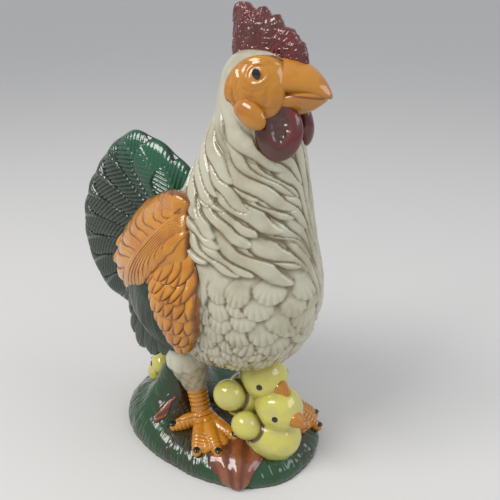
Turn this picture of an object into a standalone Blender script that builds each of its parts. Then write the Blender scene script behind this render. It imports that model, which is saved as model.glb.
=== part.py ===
"""Glazed ceramic hen with three chicks on an oval grassy mound.

Every casting and sprig of clay is one closed solid in its own object. Lengths are in millimetres
and MM turns them into metres. The hen faces -Y, +Z is up, its right side is -X, and the origin is
the middle of the mound's flat underside.
"""

import math

import bmesh
import bpy
from mathutils import Euler, Matrix, Vector

MM = 0.001

# Driving dimensions of the whole figure
FIGURE_HEIGHT = 330.0
BASE_LENGTH = 172.0
BASE_WIDTH = 124.0
WALL = 5.0
GAP = 0.4

# The mound that the hen stands on
BASE_ROUNDNESS = 2.3
BASE_RIM_HEIGHT = 7.0
BASE_FRONT_HEIGHT = 19.0
BASE_REAR_HEIGHT = 30.0
BASE_RAMP = (8.0, 46.0)
BASE_FOOT_INSET = 4.0
RIDGE_CENTRE = (-8.0, 34.0)
RIDGE_HEIGHT = 40.0
RIDGE_REACH = (24.0, 16.0)
POUR_HOLE_DIAMETER = 22.0
POUR_HOLE_CENTRE = (0.0, -36.0)
VENT_DIAMETER = 14.0

# Horizontal slices of the hen's trunk: height, front Y, back Y, half width
TRUNK_SLICES = (
    (77.0, -30.0, 14.0, 16.0),
    (81.0, -48.0, 27.0, 28.0),
    (90.0, -63.0, 42.0, 38.0),
    (103.0, -74.0, 53.0, 45.0),
    (118.0, -80.0, 61.0, 48.5),
    (137.0, -84.0, 66.0, 50.0),
    (155.0, -84.0, 66.0, 50.0),
    (172.0, -80.0, 58.0, 48.0),
    (188.0, -76.0, 41.0, 44.5),
    (203.0, -73.0, 25.0, 40.5),
    (220.0, -70.0, 12.0, 36.5),
    (238.0, -67.0, 4.0, 33.0),
    (254.0, -64.0, -2.0, 29.5),
    (268.0, -62.0, -8.0, 26.5),
)
# Slices of the head above the neck, in the same order
HEAD_SLICES = (
    (268.0, -62.0, -8.0, 26.5),
    (278.0, -64.0, -10.5, 25.5),
    (288.0, -64.0, -12.5, 24.5),
    (296.0, -63.0, -15.5, 21.5),
    (301.5, -59.0, -20.0, 16.0),
    (304.5, -50.0, -29.0, 8.0),
)
TRUNK_SQUARENESS = 2.05

# Outlines in the (Y, Z) plane, seen from the side
COMB_OUTLINE = (
    (-17, 292), (-17, 315), (-20, 328), (-28, FIGURE_HEIGHT), (-34, 327), (-41, 328), (-45, 324),
    (-51, 323.5), (-55, 318), (-61, 316), (-65, 311), (-68.5, 308.5), (-70.5, 299), (-69, 291),
    (-60, 287), (-40, 288),
)
FACE_OUTLINE = (
    (-49, 302), (-40, 299.5), (-32, 294), (-28, 286), (-29, 277), (-36, 273), (-46, 272),
    (-55, 270), (-62, 271), (-67, 279), (-67, 292), (-60, 300),
)
TAIL_OUTLINE = (
    (20, 209), (37, 220), (54, 228), (69, 234), (80, 236), (93, 231), (106, 220), (119, 204),
    (132, 185), (141, 165), (144, 141), (142, 120), (135, 102), (122, 89), (109, 85), (97, 87),
    (80, 96), (58, 116), (40, 150), (30, 185),
)
SADDLE_OUTLINE = (
    (-13, 200), (-6, 207), (8, 207), (22, 203), (36, 198), (50, 190), (61, 180), (69, 168),
    (73, 155), (73, 141), (68, 131), (60, 124), (53, 123), (44, 132), (32, 146), (18, 159),
    (2, 176), (-10, 192),
)
COVERTS_OUTLINE = (
    (-15, 200), (-4, 187), (9, 171), (23, 157), (21, 142), (14, 128), (3, 112), (-6, 103),
    (-14, 109), (-20, 122), (-24, 136), (-25, 150), (-23, 164), (-19, 182),
)
FLIGHTS_OUTLINE = (
    (29, 154), (42, 142), (52, 124), (56, 106), (56, 90), (51, 79), (40, 76), (28, 80), (13, 89),
    (0, 99), (6, 116), (15, 136),
)

COMB_THICKNESS = 13.0
TAIL_THICKNESS = 26.0
SADDLE_THICKNESS = 18.0
COVERTS_THICKNESS = 18.0
FLIGHTS_THICKNESS = 13.0

# Where each plate's middle surface lies, measured out from the trunk's side
SADDLE_STANDOFF = -1.0
COVERTS_STANDOFF = 1.5
FLIGHTS_STANDOFF = 1.0
# How much of the trunk's half width is lost one half length before or behind its middle
FLANK_TAPER = 0.42

# Beak halves as upright ovals along the head: Y, centre height, half width, half height
UPPER_BEAK = (
    (-54.0, 286.0, 17.0, 13.0), (-64.0, 287.5, 15.0, 11.5), (-73.0, 287.0, 11.0, 9.0),
    (-80.5, 284.0, 6.8, 6.2), (-86.0, 281.0, 2.6, 3.0),
)
LOWER_BEAK = (
    (-52.0, 275.5, 14.0, 7.0), (-64.0, 275.5, 12.0, 6.0), (-73.0, 276.8, 8.5, 4.6),
    (-80.0, 278.4, 4.2, 2.8),
)

# The bare cheek: its middle surface curves in ahead of and behind CHEEK_MIDDLE_Y and over the crown
CHEEK_THICKNESS = 9.0
CHEEK_REACH = 24.5
CHEEK_MIDDLE_Y = -38.0
CHEEK_SHOULDER_HEIGHT = 282.0
CHEEK_CURVES = (90.0, 75.0)

EAR_LOBE_CENTRE = (29.0, -46.5, 268.5)
EAR_LOBE_RADII = (5.5, 12.0, 6.5)
EAR_LOBE_TILT = 28.0
WATTLE_CENTRE = (15.0, 257.0)
WATTLE_RADII = (8.0, 16.0, 18.0)
WATTLE_SPLAY = (-12.0, -24.0)
WATTLE_Y = {"right": -61.0, "left": -54.0}

# Legs: the shank rises from the ankle by SHANK_RISE, in towards the middle and back
SHANK_RADIUS = 8.5
SHANK_RISE = (6.0, 13.0, 22.0)
THIGH_RADII = (1.15, 1.6, 1.9)
TOE_RADIUS = 6.0
TOE_SINK = 0.55
TOE_SHAPE = ((0.0, 1.1), (0.45, 1.0), (0.8, 0.92), (1.0, 0.6))
ANKLE_PAD_RADII = (9.0, 8.0, 6.0)
ANKLE_PAD_SHIFT = -3.0
# The right foot's toes: heading in degrees from straight ahead, positive to the left, and length
TOES = {"inner": (-6.0, 34.0), "middle": (-35.0, 39.0), "outer": (-60.0, 34.0), "hind": (-121.0, 25.0)}
# Each leg: side, ankle, hip, how far the foot turns from straight and how long its toes are
LEGS = {
    "right": (-1.0, (-24.0, -1.0, 25.0), (-27.0, 11.0, 84.0), 0.0, 1.0),
    "left": (1.0, (24.0, -42.0, 25.0), (27.0, -14.0, 84.0), -24.0, 0.9),
}

# Each chick: body centre and radii, head centre and radius, beak heading, wing centre, radii, tilt
CHICKS = {
    "chick_front": (
        (-9.0, -57.0, 25.5), (21.0, 23.0, 19.0), (-7.0, -61.5, 49.0), 17.5, -12.0,
        ((-27.0, -45.5, 38.5), (10.5, 12.0, 11.0), (20.0, 0.0, 20.0)),
    ),
    "chick_upper": (
        (-6.0, -32.0, 46.0), (20.0, 18.0, 20.0), (-3.0, -45.0, 71.0), 17.5, -12.0,
        ((-24.0, -28.5, 57.5), (12.0, 13.0, 12.5), (20.0, 0.0, 15.0)),
    ),
    "chick_rear": ((-7.0, 57.0, 33.0), (12.0, 13.0, 11.0), (-10.0, 51.0, 43.0), 9.5, -160.0, None),
}
CHICK_HEAD_LENGTH = 1.06
# A chick's beak: how far along it lies in head radii, and its radius there as a share of the head's
CHICK_BEAK = ((0.72, 0.42), (1.08, 0.33), (1.38, 0.13))
CHICK_BEAK_DROOP = -0.06

# Each leaf: centre, length, width and heading
LEAVES = {
    "leaf_front": ((-45.5, -49.5), 46.0, 42.0, -53.0),
    "leaf_side": ((-39.0, 26.0), 23.0, 7.0, 73.0),
}
LEAF_STATIONS = 14
# Below 1, a leaf is broadest nearer its stalk than its tip
LEAF_LEAN = 0.68
# A leaf's cross-section: how far across, as a share of its half width, and how far off the mound
LEAF_SECTION = ((-1.0, 0.8), (-0.5, 2.4), (0.0, 3.0), (0.5, 2.4), (1.0, 0.8), (0.6, -3.0), (-0.6, -3.0))

# Glazes: colour, roughness
GLAZES = {
    "white_glaze": ((0.58, 0.53, 0.42), 0.22),
    "orange_glaze": ((0.70, 0.31, 0.03), 0.18),
    "yellow_glaze": ((0.66, 0.62, 0.12), 0.16),
    "maroon_glaze": ((0.17, 0.02, 0.02), 0.22),
    "tail_green_glaze": ((0.015, 0.07, 0.03), 0.18),
    "grass_green_glaze": ((0.02, 0.08, 0.03), 0.18),
    "leaf_brown_glaze": ((0.27, 0.08, 0.03), 0.18),
}


def make_glaze(name):
    """A fired ceramic glaze as a Principled material."""
    colour, roughness = GLAZES[name]
    material = bpy.data.materials.new(name)
    material.use_nodes = True
    shader = material.node_tree.nodes["Principled BSDF"]
    shader.inputs["Base Color"].default_value = (*colour, 1.0)
    shader.inputs["Roughness"].default_value = roughness
    shader.inputs["Metallic"].default_value = 0.0
    material.diffuse_color = (*colour, 1.0)
    return material


def clear_scene():
    for item in list(bpy.data.objects):
        bpy.data.objects.remove(item, do_unlink=True)


def new_collection(name):
    collection = bpy.data.collections.new(name)
    bpy.context.scene.collection.children.link(collection)
    return collection


clear_scene()
PARTS = new_collection("ceramic_hen")
CUTTERS = new_collection("cutters")
MATERIALS = {name: make_glaze(name) for name in GLAZES}


def add_object(name, work, glaze=None):
    """Turn a bmesh in millimetres into an object in metres, with its faces pointing out."""
    bmesh.ops.triangulate(work, faces=work.faces)
    bmesh.ops.recalc_face_normals(work, faces=work.faces)
    bmesh.ops.scale(work, vec=(MM, MM, MM), verts=work.verts)
    mesh = bpy.data.meshes.new(name)
    work.to_mesh(mesh)
    work.free()
    item = bpy.data.objects.new(name, mesh)
    if glaze:
        mesh.materials.append(MATERIALS[glaze])
        PARTS.objects.link(item)
    else:
        item.hide_render = True
        item.display_type = "WIRE"
        CUTTERS.objects.link(item)
    mesh.shade_smooth()
    return item


def close_loft(work, rings):
    """Join rings of vertices with quads and close both ends with a face."""
    for lower, upper in zip(rings, rings[1:]):
        for index in range(len(lower)):
            after = (index + 1) % len(lower)
            work.faces.new((lower[index], lower[after], upper[after], upper[index]))
    work.faces.new(list(reversed(rings[0])))
    work.faces.new(rings[-1])


def signed_power(value, power):
    return math.copysign(abs(value) ** power, value)


def superellipse(angle, half_x, half_y, roundness):
    """A point of a rounded oval; a roundness of 2 is an ellipse and more is squarer."""
    power = 2.0 / roundness
    return half_x * signed_power(math.sin(angle), power), -half_y * signed_power(math.cos(angle), power)


def evaluated_copy(source, name, offset):
    """A hidden copy of an object's finished mesh, moved out along its normals by offset."""
    bpy.context.view_layer.update()
    graph = bpy.context.evaluated_depsgraph_get()
    mesh = bpy.data.meshes.new_from_object(source.evaluated_get(graph))
    shift = offset * MM
    normals = [vertex.normal.copy() for vertex in mesh.vertices]
    for vertex, normal in zip(mesh.vertices, normals):
        vertex.co += normal * shift
    copy = bpy.data.objects.new(name, mesh)
    copy.matrix_world = source.matrix_world
    copy.hide_render = True
    copy.display_type = "WIRE"
    CUTTERS.objects.link(copy)
    return copy


def subtract(target, cutter):
    """Cut one object out of another."""
    cut = target.modifiers.new("cut_" + cutter.name, "BOOLEAN")
    cut.operation = "DIFFERENCE"
    cut.solver = "EXACT"
    cut.object = cutter


def hollow(target, solid_form):
    """Cut an even-walled cavity, the shape of the solid form moved in by the wall."""
    subtract(target, evaluated_copy(solid_form, target.name + "_cavity", -WALL))


def fit_against(target, *neighbours):
    """Cut each neighbour out of target, so that the two meet with a small gap."""
    for neighbour in neighbours:
        cutter = evaluated_copy(neighbour, f"{neighbour.name}_out_of_{target.name}", GAP)
        subtract(target, cutter)


def drill(target, centre, diameter, bottom, top):
    """Cut an upright round hole between two heights."""
    work = bmesh.new()
    place = Matrix.Translation((centre[0], centre[1], (bottom + top) / 2.0))
    radius = diameter / 2.0
    bmesh.ops.create_cone(
        work, cap_ends=True, segments=24, radius1=radius, radius2=radius,
        depth=top - bottom, matrix=place,
    )
    subtract(target, add_object(target.name + "_hole", work))


def ellipsoid(name, glaze, centre, radii, tilt=(0.0, 0.0, 0.0), segments=14, rings=9):
    """A ball stretched to three radii and tilted by angles in degrees."""
    work = bmesh.new()
    turn = Euler([math.radians(angle) for angle in tilt]).to_matrix().to_4x4()
    place = Matrix.Translation(centre) @ turn @ Matrix.Diagonal((*radii, 1.0))
    bmesh.ops.create_uvsphere(work, u_segments=segments, v_segments=rings, radius=1.0, matrix=place)
    return add_object(name, work, glaze)


def smooth_outline(points, count):
    """Evenly spaced points on a closed smooth curve through a few outline points."""
    total = len(points)
    curve = []
    steps = 12
    for index in range(total):
        corners = [Vector(points[(index + shift) % total]) for shift in (-1, 0, 1, 2)]
        for step in range(steps):
            t = step / steps
            curve.append(0.5 * (
                2.0 * corners[1]
                + (corners[2] - corners[0]) * t
                + (2.0 * corners[0] - 5.0 * corners[1] + 4.0 * corners[2] - corners[3]) * t ** 2
                + (3.0 * corners[1] - corners[0] - 3.0 * corners[2] + corners[3]) * t ** 3
            ))
    lengths = [0.0]
    for here, after in zip(curve, curve[1:] + curve[:1]):
        lengths.append(lengths[-1] + (after - here).length)
    spaced = []
    cursor = 0
    for index in range(count):
        wanted = lengths[-1] * index / count
        while lengths[cursor + 1] < wanted:
            cursor += 1
        span = lengths[cursor + 1] - lengths[cursor]
        part = (wanted - lengths[cursor]) / span if span else 0.0
        spaced.append(curve[cursor].lerp(curve[(cursor + 1) % len(curve)], part))
    return spaced


PILLOW_RINGS = (1.0, 0.97, 0.86, 0.62, 0.32)


def pillow(name, glaze, outline, thickness, middle_x=0.0, count=26, bend=None):
    """A plump plate: a (Y, Z) outline whose two faces swell away from a rounded edge.

    bend, when given, takes (y, z) and returns how far the plate's middle surface moves along X.
    """
    points = smooth_outline(outline, count)
    centre = sum(points, Vector((0.0, 0.0))) / count
    work = bmesh.new()

    def ring(scale, side):
        swell = side * thickness / 2.0 * (1.0 - scale ** 3.0) ** 0.5
        made = []
        for point in points:
            spot = centre.lerp(point, scale)
            shift = bend(spot.x, spot.y) if bend else 0.0
            made.append(work.verts.new((middle_x + swell + shift, spot.x, spot.y)))
        return made

    inner_side = [ring(scale, -1.0) for scale in reversed(PILLOW_RINGS[1:])]
    outer_side = [ring(scale, 1.0) for scale in PILLOW_RINGS[1:]]
    close_loft(work, inner_side + [ring(1.0, 0.0)] + outer_side)
    return add_object(name, work, glaze)


def base_reach(x, y):
    """0 at the middle of the mound, 1 on its outline, more beyond it."""
    reach = (abs(x) / (BASE_WIDTH / 2.0)) ** BASE_ROUNDNESS
    return reach + (abs(y) / (BASE_LENGTH / 2.0)) ** BASE_ROUNDNESS


def ground_height(x, y):
    """Height of the grassy mound above its underside: low in front, a tall loaf behind."""
    climb = min(1.0, max(0.0, (y - BASE_RAMP[0]) / (BASE_RAMP[1] - BASE_RAMP[0])))
    climb = climb * climb * (3.0 - 2.0 * climb)
    crest = BASE_FRONT_HEIGHT + (BASE_REAR_HEIGHT - BASE_FRONT_HEIGHT) * climb
    dome = BASE_RIM_HEIGHT + (crest - BASE_RIM_HEIGHT) * max(0.0, 1.0 - base_reach(x, y) ** 3.2)
    away = ((x - RIDGE_CENTRE[0]) / RIDGE_REACH[0]) ** 2 + ((y - RIDGE_CENTRE[1]) / RIDGE_REACH[1]) ** 2
    return dome + RIDGE_HEIGHT * math.exp(-away ** 1.5)


def on_mound(x, y):
    """The point of the mound's surface at (x, y); a point past its rim slides down its side."""
    reach = base_reach(x, y)
    if reach <= 1.0:
        return Vector((x, y, ground_height(x, y)))
    shrink = reach ** (-1.0 / BASE_ROUNDNESS)
    overshoot = math.hypot(x, y) * (1.0 - shrink)
    return Vector((x * shrink, y * shrink, max(1.5, BASE_RIM_HEIGHT - overshoot)))


def build_base():
    """The mound, with a hump behind the legs that reaches up to the hen's belly."""
    work = bmesh.new()
    around = 36
    angles = [2.0 * math.pi * index / around for index in range(around)]

    def oval(scale, inset, height=None):
        made = []
        for angle in angles:
            x, y = superellipse(
                angle, BASE_WIDTH / 2.0 * scale - inset, BASE_LENGTH / 2.0 * scale - inset, BASE_ROUNDNESS
            )
            z = ground_height(x, y) if height is None else height
            made.append(work.verts.new((x, y, z)))
        return made

    rings = [oval(1.0, BASE_FOOT_INSET, 0.0), oval(1.0, 0.0, BASE_RIM_HEIGHT * 0.35)]
    rings.append(oval(1.0, 0.6, BASE_RIM_HEIGHT))
    for scale in (0.965, 0.89, 0.78, 0.66, 0.54, 0.42, 0.28, 0.14):
        rings.append(oval(scale, 0.0))
    close_loft(work, rings)
    return add_object("base_mound", work, "grass_green_glaze")


def trunk_ring(work, height, front, back, half_width, around):
    made = []
    for index in range(around):
        angle = 2.0 * math.pi * index / around
        x, y = superellipse(angle, half_width, (back - front) / 2.0, TRUNK_SQUARENESS)
        made.append(work.verts.new((x, y + (front + back) / 2.0, height)))
    return made


def build_trunk():
    """The breast, back and neck."""
    work = bmesh.new()
    close_loft(work, [trunk_ring(work, *entry, 28) for entry in TRUNK_SLICES])
    return add_object("body_shell", work, "white_glaze")


def build_beak(head):
    """The two halves of the beak, each a cone whose section is an upright oval."""
    upper = loft_along_y("beak_upper", "orange_glaze", UPPER_BEAK)
    lower = loft_along_y("beak_lower", "orange_glaze", LOWER_BEAK)
    fit_against(upper, head)
    fit_against(lower, head, upper)
    return upper, lower


def loft_along_y(name, glaze, stations, around=16):
    """A solid through upright ovals: each station is Y, centre Z, half width, half height."""
    work = bmesh.new()
    rings = []
    for y, z, half_width, half_height in stations:
        made = []
        for index in range(around):
            angle = 2.0 * math.pi * index / around
            made.append(work.verts.new((half_width * math.sin(angle), y, z + half_height * math.cos(angle))))
        rings.append(made)
    close_loft(work, rings)
    return add_object(name, work, glaze)


def limb(name, glaze, joints, around=14):
    """A round limb through joints, each an (X, Y, Z) point and a radius."""
    work = bmesh.new()
    rings = []
    points = [Vector(point) for point, _ in joints]
    for index, (_, radius) in enumerate(joints):
        before = points[max(index - 1, 0)]
        after = points[min(index + 1, len(points) - 1)]
        turn = (after - before).to_track_quat("Z", "Y").to_matrix()
        made = []
        for step in range(around):
            angle = 2.0 * math.pi * step / around
            spoke = turn @ Vector((math.cos(angle), math.sin(angle), 0.0))
            made.append(work.verts.new(points[index] + spoke * radius))
        rings.append(made)
    close_loft(work, rings)
    return add_object(name, work, glaze)


def build_head(trunk):
    """The crown and cheeks, which carry the neck's taper on above its top."""
    work = bmesh.new()
    close_loft(work, [trunk_ring(work, *entry, 28) for entry in HEAD_SLICES])
    head = add_object("head", work, "white_glaze")
    fit_against(head, trunk)
    return head


def build_comb(head):
    comb = pillow("comb", "maroon_glaze", COMB_OUTLINE, COMB_THICKNESS, count=36)
    fit_against(comb, head)
    return comb


def build_face(side, name, trunk, head, beaks, comb):
    """The bare cheek around the eye, the ear lobe below it and the wattle under the beak."""

    def cheek_bend(y, z):
        along = (y - CHEEK_MIDDLE_Y) ** 2 / CHEEK_CURVES[0]
        over = max(z - CHEEK_SHOULDER_HEIGHT, 0.0) ** 2 / CHEEK_CURVES[1]
        return -side * (along + over)

    cheek = pillow(
        "face_patch_" + name, "orange_glaze", FACE_OUTLINE, CHEEK_THICKNESS, side * CHEEK_REACH,
        count=22, bend=cheek_bend,
    )
    fit_against(cheek, head, trunk, *beaks, comb)
    lobe_x, lobe_y, lobe_z = EAR_LOBE_CENTRE
    lobe = ellipsoid(
        "ear_lobe_" + name, "orange_glaze", (side * lobe_x, lobe_y, lobe_z), EAR_LOBE_RADII,
        (EAR_LOBE_TILT, 0.0, 0.0),
    )
    fit_against(lobe, trunk, head, cheek)
    wattle_x, wattle_z = WATTLE_CENTRE
    wattle = ellipsoid(
        "wattle_" + name, "maroon_glaze", (side * wattle_x, WATTLE_Y[name], wattle_z), WATTLE_RADII,
        (0.0, side * WATTLE_SPLAY[0], side * WATTLE_SPLAY[1]),
    )
    fit_against(wattle, trunk, head, cheek, *beaks, lobe)


def build_tail(trunk):
    tail = pillow("tail_fan", "tail_green_glaze", TAIL_OUTLINE, TAIL_THICKNESS, count=34)
    hollow(tail, tail)
    fit_against(tail, trunk)
    return tail


def flank(y, z):
    """How far out the trunk's side lies at (y, z), fading gently behind the body."""
    levels = [entry[0] for entry in TRUNK_SLICES]
    upper = min(max(sum(level < z for level in levels), 1), len(levels) - 1)
    low, high = TRUNK_SLICES[upper - 1], TRUNK_SLICES[upper]
    share = (z - low[0]) / (high[0] - low[0])
    _, front, back, half_width = [a + (b - a) * share for a, b in zip(low, high)]
    off_middle = (y - (front + back) / 2.0) / ((back - front) / 2.0)
    return half_width * (1.0 - FLANK_TAPER * min(abs(off_middle), 1.5) ** 2)


def build_wing(side, name, trunk, tail):
    """The saddle plume, the wing coverts and the flight feathers on one flank."""
    saddle = pillow(
        "saddle_plume_" + name, "orange_glaze", SADDLE_OUTLINE, SADDLE_THICKNESS,
        bend=lambda y, z: side * (flank(y, z) + SADDLE_STANDOFF),
    )
    fit_against(saddle, trunk, tail)
    coverts = pillow(
        "wing_coverts_" + name, "orange_glaze", COVERTS_OUTLINE, COVERTS_THICKNESS,
        bend=lambda y, z: side * (flank(y, z) + COVERTS_STANDOFF),
    )
    fit_against(coverts, trunk, saddle)
    flights = pillow(
        "wing_flights_" + name, "tail_green_glaze", FLIGHTS_OUTLINE, FLIGHTS_THICKNESS,
        bend=lambda y, z: side * (flank(y, z) + FLIGHTS_STANDOFF),
    )
    fit_against(flights, trunk, saddle, coverts)
    return saddle, coverts, flights


def build_leg(name, base, trunk_and_wing):
    """The feathered thigh and the shank below it."""
    side, ankle, hip, _, _ = LEGS[name]
    ankle, hip = Vector(ankle), Vector(hip)
    inward, back, up = SHANK_RISE
    top = ankle + Vector((-side * inward, back, up))
    shank = limb("shank_" + name, "orange_glaze", (
        (ankle + Vector((0.0, 0.0, ANKLE_PAD_SHIFT)), SHANK_RADIUS * 0.9),
        (ankle.lerp(top, 0.5), SHANK_RADIUS * 0.88),
        (top, SHANK_RADIUS),
    ))
    spine = (top + Vector((0.0, 0.5, 0.8)), top.lerp(hip, 0.5), hip)
    joints = [(spot, SHANK_RADIUS * share) for spot, share in zip(spine, THIGH_RADII)]
    thigh = limb("thigh_" + name, "white_glaze", joints, around=18)
    fit_against(thigh, base, *trunk_and_wing)
    fit_against(shank, base, thigh)
    return shank, thigh


def build_foot(name, base, shank):
    """One foot: a rounded ankle pad and four toes that lie on the mound, joined into one body."""
    side, ankle, _, turn, stretch = LEGS[name]
    pad_centre = (ankle[0], ankle[1] + ANKLE_PAD_SHIFT, ankle[2])
    pad = ellipsoid("foot_" + name, "orange_glaze", pad_centre, ANKLE_PAD_RADII)
    for toe, (heading, length) in TOES.items():
        angle = math.radians(-side * heading + turn)
        forward = Vector((math.sin(angle), -math.cos(angle), 0.0))
        joints = []
        for share, radius in TOE_SHAPE:
            spot = Vector(ankle) + forward * length * stretch * share
            spot.z = ground_height(spot.x, spot.y) + TOE_RADIUS * TOE_SINK
            joints.append((spot, TOE_RADIUS * radius))
        digit = limb(f"{toe}_toe_{name}", None, joints, around=8)
        join = pad.modifiers.new(toe, "BOOLEAN")
        join.operation = "UNION"
        join.solver = "EXACT"
        join.object = digit
    fit_against(pad, base, shank)
    return pad


def outward(x, y):
    """Roughly the direction that the mound's surface faces."""
    tip = min(1.0, max(0.0, (base_reach(x, y) - 0.6) / 0.5))
    return Vector((x * tip, y * tip, 60.0 * (1.0 - tip) + 15.0)).normalized()


def build_leaf(name, neighbours):
    """A pointed fallen leaf that follows the mound's surface."""
    centre, length, width, heading = LEAVES[name]
    work = bmesh.new()
    angle = math.radians(heading)
    along = Vector((math.sin(angle), -math.cos(angle)))
    across = Vector((along.y, -along.x))
    rings = []
    for index in range(LEAF_STATIONS + 1):
        share = 0.02 + 0.96 * index / LEAF_STATIONS
        half_width = width / 2.0 * math.sin(math.pi * share ** LEAF_LEAN)
        spine = Vector(centre) + along * length * (share - 0.5)
        made = []
        for offset, lift in LEAF_SECTION:
            spot = spine + across * half_width * offset
            made.append(work.verts.new(on_mound(spot.x, spot.y) + outward(spot.x, spot.y) * lift))
        rings.append(made)
    close_loft(work, rings)
    leaf = add_object(name, work, "leaf_brown_glaze")
    fit_against(leaf, *neighbours)


def build_chick(name, neighbours):
    """One chick: body, head, beak and, where it shows, the near wing."""
    body_centre, body_radii, head_centre, head_radius, beak_heading, wing = CHICKS[name]
    body = ellipsoid(name + "_body", "yellow_glaze", body_centre, body_radii)
    fit_against(body, *neighbours)
    head_radii = (head_radius, head_radius * CHICK_HEAD_LENGTH, head_radius)
    head = ellipsoid(name + "_head", "yellow_glaze", head_centre, head_radii)
    fit_against(head, *neighbours, body)
    angle = math.radians(beak_heading)
    forward = Vector((math.sin(angle), -math.cos(angle), CHICK_BEAK_DROOP))
    joints = []
    for along, radius in CHICK_BEAK:
        joints.append((Vector(head_centre) + forward * head_radius * along, head_radius * radius))
    beak = limb(name + "_beak", "orange_glaze", joints, around=12)
    fit_against(beak, *neighbours, head, body)
    pieces = [body, head, beak]
    if wing:
        flap = ellipsoid(name + "_wing", "yellow_glaze", *wing)
        fit_against(flap, *neighbours, body, head)
        pieces.append(flap)
    return pieces


def open_casting(casting, solid_form, hole_centre, hole_diameter, underside):
    """Hollow a casting and open its cavity with a hole in the underside."""
    hollow(casting, solid_form)
    drill(casting, hole_centre, hole_diameter, underside - WALL, underside + WALL * 1.7)


def build_figure():
    base = build_base()
    trunk = build_trunk()
    base_form = evaluated_copy(base, "base_form", 0.0)
    fit_against(base, trunk)
    head = build_head(trunk)
    beaks = build_beak(head)
    comb = build_comb(head)
    for beak in beaks:
        fit_against(beak, trunk)
    fit_against(comb, beaks[0])
    tail = build_tail(trunk)
    legs = []
    for name, (side, *_) in LEGS.items():
        build_face(side, name, trunk, head, beaks, comb)
        wing = build_wing(side, name, trunk, tail)
        shank, thigh = build_leg(name, base, (trunk, *wing))
        legs += [shank, thigh, build_foot(name, base, shank)]
    right_foot = legs[2]
    front = build_chick("chick_front", (trunk, base, *legs))
    build_chick("chick_upper", (trunk, base, *legs, *front))
    build_chick("chick_rear", (base, trunk, tail))
    build_leaf("leaf_front", (base, right_foot, *front))
    build_leaf("leaf_side", (base, right_foot))
    open_casting(base, base_form, POUR_HOLE_CENTRE, POUR_HOLE_DIAMETER, 0.0)
    belly_height, belly_front, belly_back, _ = TRUNK_SLICES[0]
    open_casting(trunk, trunk, (0.0, (belly_front + belly_back) / 2.0), VENT_DIAMETER, belly_height)


build_figure()
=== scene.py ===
"""Looks of the glazed ceramic hen with chicks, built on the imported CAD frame.

Each casting is rebuilt as a dense mesh on the surface of its CAD solid, with its feathers, grit and
toe rings as real relief. Lengths are in millimetres and MM turns them into metres. The hen faces
-Y and its right side is -X.
"""
import math

import bpy
import numpy as np
from mathutils import Matrix, Vector
from mathutils.bvhtree import BVHTree


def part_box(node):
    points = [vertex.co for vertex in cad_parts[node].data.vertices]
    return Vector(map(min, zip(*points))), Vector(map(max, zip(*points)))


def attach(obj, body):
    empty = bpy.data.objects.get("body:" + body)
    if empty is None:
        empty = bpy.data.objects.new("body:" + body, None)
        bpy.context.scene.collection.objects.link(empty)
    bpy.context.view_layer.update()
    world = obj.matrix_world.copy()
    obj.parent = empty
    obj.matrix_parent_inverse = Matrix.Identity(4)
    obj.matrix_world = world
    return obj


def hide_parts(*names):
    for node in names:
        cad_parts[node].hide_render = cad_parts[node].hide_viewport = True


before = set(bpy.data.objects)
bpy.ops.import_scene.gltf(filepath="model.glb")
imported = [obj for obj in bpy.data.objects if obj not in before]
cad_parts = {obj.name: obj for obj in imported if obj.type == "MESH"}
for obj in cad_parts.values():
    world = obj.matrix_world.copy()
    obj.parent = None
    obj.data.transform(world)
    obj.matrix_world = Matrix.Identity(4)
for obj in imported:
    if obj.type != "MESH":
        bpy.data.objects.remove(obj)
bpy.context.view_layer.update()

MM = 0.001
RANDOM = np.random.default_rng(7)
# How far refine blurs, in steps of the coarse grid
ROUNDING = 1.1


# ---------------------------------------------------------------- numbers and noise


def ease(value, low, high):
    """0 below low, 1 above high, and a smooth step between."""
    t = np.clip((value - low) / (high - low), 0.0, 1.0)
    return t * t * (3.0 - 2.0 * t)


def lattice(ix, iy, iz, seed):
    """A repeatable value from 0 to 1 at each whole-numbered point of space."""
    mixed = (ix * 374761393 + iy * 668265263 + iz * 1103515245 + seed * 974634777) & 0xFFFFFFFF
    mixed = ((mixed ^ (mixed >> 15)) * 2246822519) & 0xFFFFFFFF
    mixed = ((mixed ^ (mixed >> 13)) * 1266489917) & 0xFFFFFFFF
    return ((mixed ^ (mixed >> 16)) & 0xFFFF) / 65535.0


def smooth_noise(points, size, seed=0):
    """Soft noise from -1 to 1 with features about size millimetres across."""
    scaled = np.asarray(points, float) / size
    cell = np.floor(scaled).astype(np.int64)
    part = scaled - cell
    part = part * part * (3.0 - 2.0 * part)
    total = np.zeros(scaled.shape[:-1])
    for dx in (0, 1):
        for dy in (0, 1):
            for dz in (0, 1):
                share = (
                    (part[..., 0] if dx else 1.0 - part[..., 0])
                    * (part[..., 1] if dy else 1.0 - part[..., 1])
                    * (part[..., 2] if dz else 1.0 - part[..., 2])
                )
                total += share * lattice(cell[..., 0] + dx, cell[..., 1] + dy, cell[..., 2] + dz, seed)
    return total * 2.0 - 1.0


def blur(grid, sigma, axis, wrap):
    """Gaussian blur of an array along one axis, wrapping round or holding its ends."""
    reach = max(1, int(math.ceil(sigma * 3.0)))
    taps = np.exp(-0.5 * (np.arange(-reach, reach + 1) / sigma) ** 2)
    taps /= taps.sum()
    pad = [(0, 0)] * grid.ndim
    pad[axis] = (reach, reach)
    padded = np.pad(grid, pad, mode="wrap" if wrap else "edge")
    out = np.zeros_like(grid)
    length = grid.shape[axis]
    for index, tap in enumerate(taps):
        out += tap * np.take(padded, range(index, index + length), axis=axis)
    return out


def blur_skin(grid, sigma):
    """Blur a grid whose columns wrap round, the same amount both ways."""
    return blur(blur(grid, sigma, 0, False), sigma, 1, True)


# ---------------------------------------------------------------- meshes


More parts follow.
